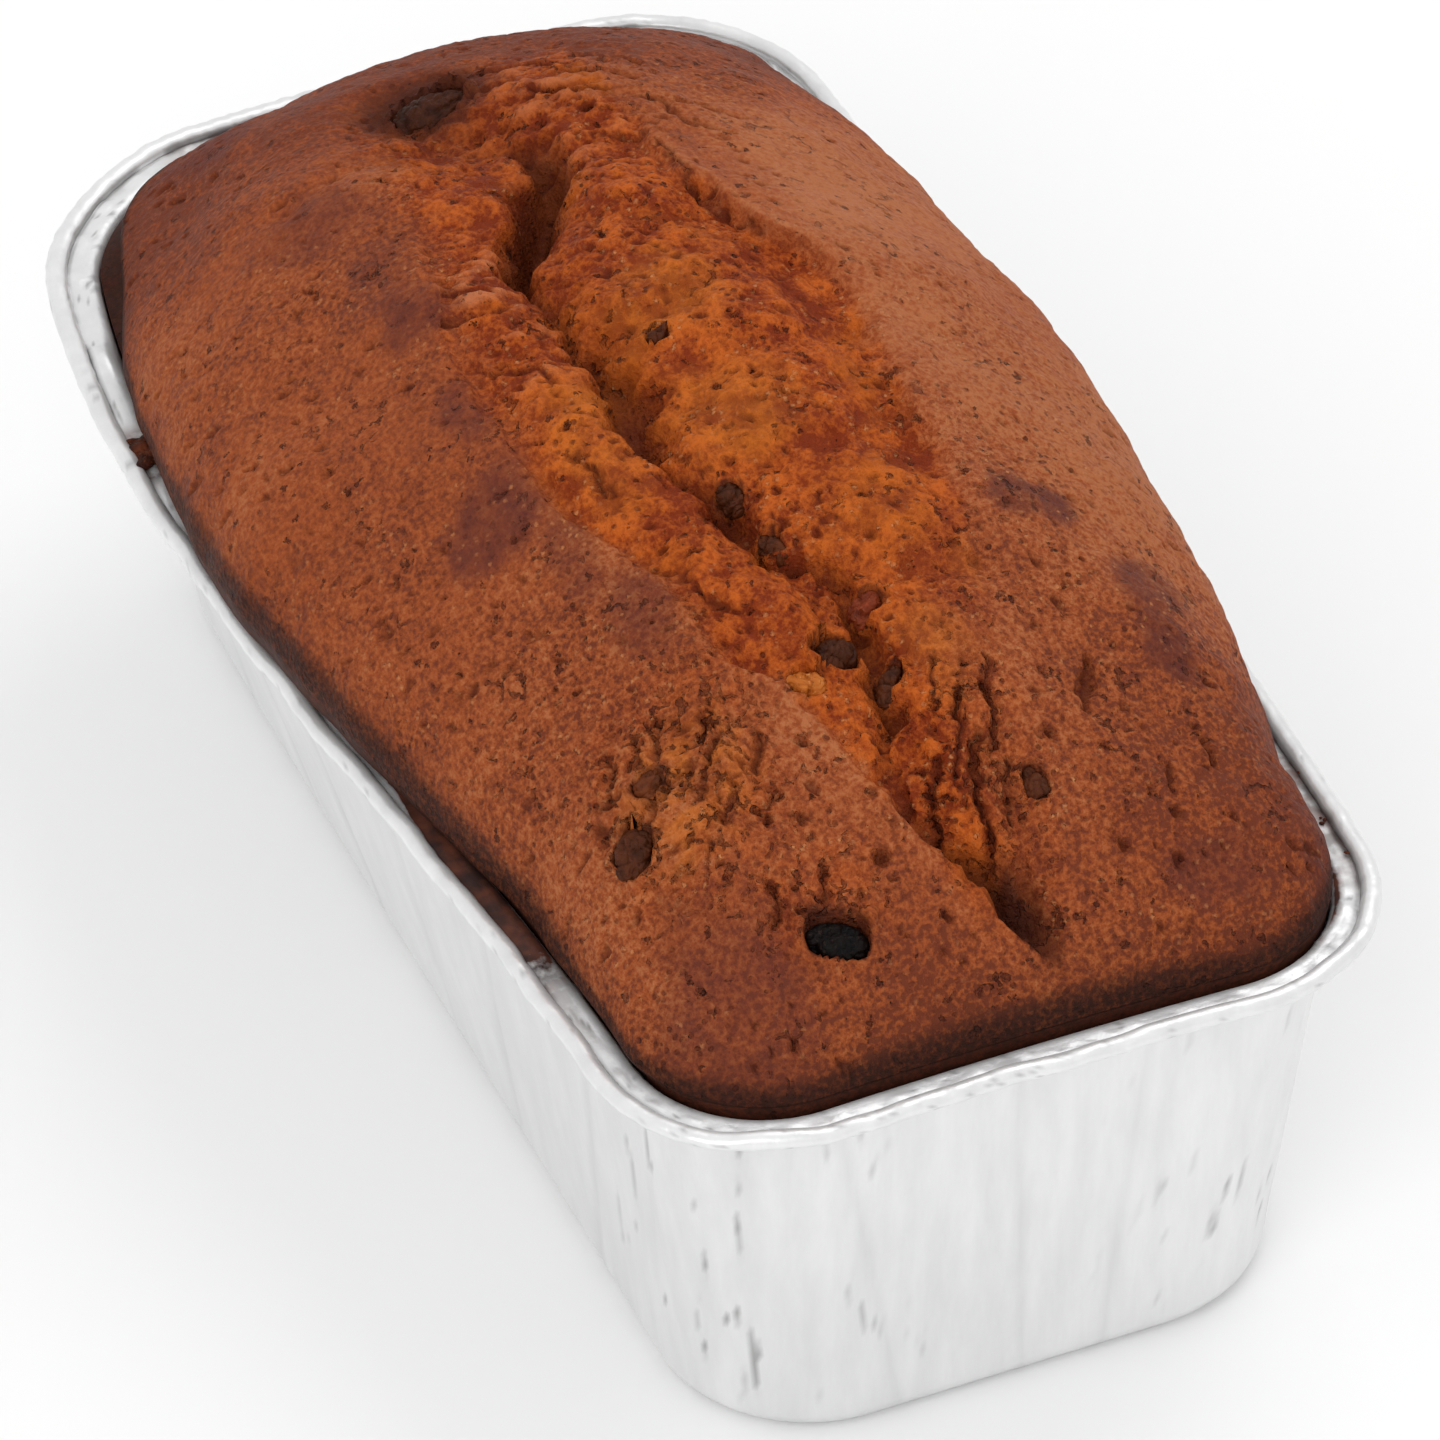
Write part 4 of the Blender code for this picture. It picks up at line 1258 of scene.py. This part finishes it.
def make_fruit(name):
    node = bpy.data.objects[name]
    piece = bpy.data.objects.new(name + "_skin", node.data.copy())
    scene.collection.objects.link(piece)
    bm = bmesh.new()
    bm.from_mesh(piece.data)
    bmesh.ops.remove_doubles(bm, verts=bm.verts, dist=0.00002)
    bm.to_mesh(piece.data)
    bm.free()
    smooth = piece.modifiers.new("smooth", "SUBSURF")
    smooth.levels = smooth.render_levels = 3
    graph = bpy.context.evaluated_depsgraph_get()
    mesh = bpy.data.meshes.new_from_object(piece.evaluated_get(graph))
    piece.modifiers.clear()
    piece.data = mesh
    low, high = (Vector(c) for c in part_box(name))
    middle = (low + high) / 2
    seed = 10.0 * (1 + FRUIT.index(name))
    for vert, normal in [(v, v.normal.copy()) for v in mesh.vertices]:
        p = vert.co / MM
        fold = 1 - abs(noise.noise(Vector((p.x * 0.42 + seed, p.y * 0.42, p.z * 0.42))) * 2)
        crease_shade = 1 - abs(noise.noise(Vector((p.x * 0.9, p.y * 0.9 + seed, p.z * 0.9))) * 2)
        small = noise.noise(Vector((p.x * 2.0, p.y * 2.0 + seed, p.z * 2.0)))
        push = 0.12 - 0.55 * max(fold, 0) ** 4 - 0.28 * max(crease_shade, 0) ** 4 + 0.08 * small
        vert.co += normal * push * MM
    for vert in mesh.vertices:
        vert.co = middle + (vert.co - middle) * 1.02
    add_values(mesh, "dusty", [DUSTY.get(name, 0.1)] * len(mesh.vertices))
    for polygon in mesh.polygons:
        polygon.use_smooth = True
    return piece


# Burnt drips: how many, their middle, their spread along x and y, smallest and largest size
DRIPS = (
    (22, -47.5, -58.0, 1.9, 0.8, 1.5, 3.2),
    (16, -106.2, -17, 0.8, 8, 0.7, 1.6),
    (8, 78, 50, 10, 0.6, 0.4, 0.9),
)


def make_crumbs():
    """Burnt drips and crumbs that lie on the flange."""
    rng = np.random.default_rng(7)
    bm = bmesh.new()
    lumps = [
        (cx + rng.normal(0, along_x), cy + rng.normal(0, along_y), rng.uniform(small, large))
        for count, cx, cy, along_x, along_y, small, large in DRIPS
        for _ in range(count)
    ]
    for cx, cy, size in lumps:
        turn = Matrix.Rotation(rng.uniform(0, 3.1), 4, "Z")
        flat = Matrix.Diagonal((size * rng.uniform(0.8, 1.5), size * rng.uniform(0.6, 1.0), size * 0.45, 1))
        made = bmesh.ops.create_icosphere(bm, subdivisions=2, radius=0.5, matrix=turn @ flat)["verts"]
        shift = Vector((cx, cy, FLANGE + size * 0.12))
        for vert in made:
            vert.co *= 1 + 0.25 * noise.noise(vert.co * 2.3 + Vector((cx, cy, 0)))
            vert.co += shift
    bmesh.ops.scale(bm, vec=(MM, MM, MM), verts=bm.verts)
    mesh = bpy.data.meshes.new("burnt_crumbs")
    bm.to_mesh(mesh)
    bm.free()
    return add_object(mesh)


# Pieces

loaf = make_loaf()
loaf.data.materials.append(crust_material())
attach(loaf, "root")
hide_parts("loaf")

tin = make_tin()
tin.data.materials.append(foil_material())
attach(tin, "root")
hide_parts("foil_tin")

skins = {
    "raisin": fruit_material("raisin", srgb(6, 4, 5), srgb(20, 11, 9), srgb(46, 30, 26), 0.40),
    "cherry": fruit_material("cherry", srgb(84, 30, 14), srgb(140, 58, 30), srgb(150, 80, 50), 0.3),
    "peel": fruit_material("peel", srgb(158, 78, 22), srgb(198, 116, 48), srgb(214, 142, 80), 0.28),
}
for name in FRUIT:
    piece = make_fruit(name)
    kind = name.split("_")[0]
    piece.data.materials.clear()
    piece.data.materials.append(skins[kind])
    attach(piece, "root")
    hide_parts(name)

crumbs = make_crumbs()
burnt_and_shade = fruit_material("burnt_and_shade", srgb(44, 20, 14), srgb(98, 48, 28), srgb(120, 66, 40), 0.5)
crumbs.data.materials.append(burnt_and_shade)
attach(crumbs, "root")


# Floor, light and camera

# The camera, fitted to the outline in the photo: angles in degrees, distance and aim in metres
AZIMUTH, ELEVATION, ROLL = 67.888, 40.381, -1.299
DISTANCE = 1.547
AIM = (-0.001278, 0.001688, 0.030418)
FOCAL_PIXELS = 11988.0
PHOTO_PIXELS = 1440.0


def make_floor():
    bm = bmesh.new()
    bmesh.ops.create_grid(bm, x_segments=1, y_segments=1, size=3.0)
    mesh = bpy.data.meshes.new("floor")
    bm.to_mesh(mesh)
    bm.free()
    obj = add_object(mesh)
    n = Nodes("floor")
    n.set("Base Color", n.mix(n.noise(3.0), (0.93, 0.93, 0.93), (0.95, 0.95, 0.95)))
    n.set("Roughness", 0.8)
    n.shader.inputs["Specular IOR Level"].default_value = 0.1
    obj.data.materials.append(n.material)


def make_light(name, place, aim, size, power):
    lamp = bpy.data.lights.new(name, "AREA")
    lamp.shape = "DISK"
    lamp.size = size
    lamp.energy = power
    obj = bpy.data.objects.new(name, lamp)
    obj.location = place
    obj.rotation_euler = (Vector(aim) - Vector(place)).to_track_quat("-Z", "Y").to_euler()
    scene.collection.objects.link(obj)


def make_world():
    world = bpy.data.worlds.new("studio")
    world.use_nodes = True
    background = world.node_tree.nodes["Background"]
    background.inputs["Color"].default_value = (1.0, 1.0, 1.0, 1)
    background.inputs["Strength"].default_value = 0.82
    scene.world = world


def make_camera():
    azimuth, elevation, roll = (math.radians(angle) for angle in (AZIMUTH, ELEVATION, ROLL))
    level = math.cos(elevation)
    back = Vector((math.sin(azimuth) * level, -math.cos(azimuth) * level, math.sin(elevation)))
    right = (-back).cross(Vector((0, 0, 1))).normalized()
    up = right.cross(-back)
    turned_right = right * math.cos(roll) + up * math.sin(roll)
    turned_up = up * math.cos(roll) - right * math.sin(roll)
    camera = bpy.data.cameras.new("camera")
    camera.sensor_width = 36.0
    camera.lens = FOCAL_PIXELS / PHOTO_PIXELS * camera.sensor_width
    obj = bpy.data.objects.new("camera", camera)
    facing = Matrix((turned_right, turned_up, back)).transposed().to_4x4()
    obj.matrix_world = Matrix.Translation(Vector(AIM) + back * DISTANCE) @ facing
    scene.collection.objects.link(obj)
    scene.camera = obj


make_floor()
make_world()
make_camera()
make_light("key", (-0.30, 0.55, 1.10), (0, 0, 0.06), 0.8, 3.0)
make_light("fill", (0.85, -0.75, 0.9), (0, 0, 0.05), 1.0, 5.0)
scene.view_settings.view_transform = "Standard"
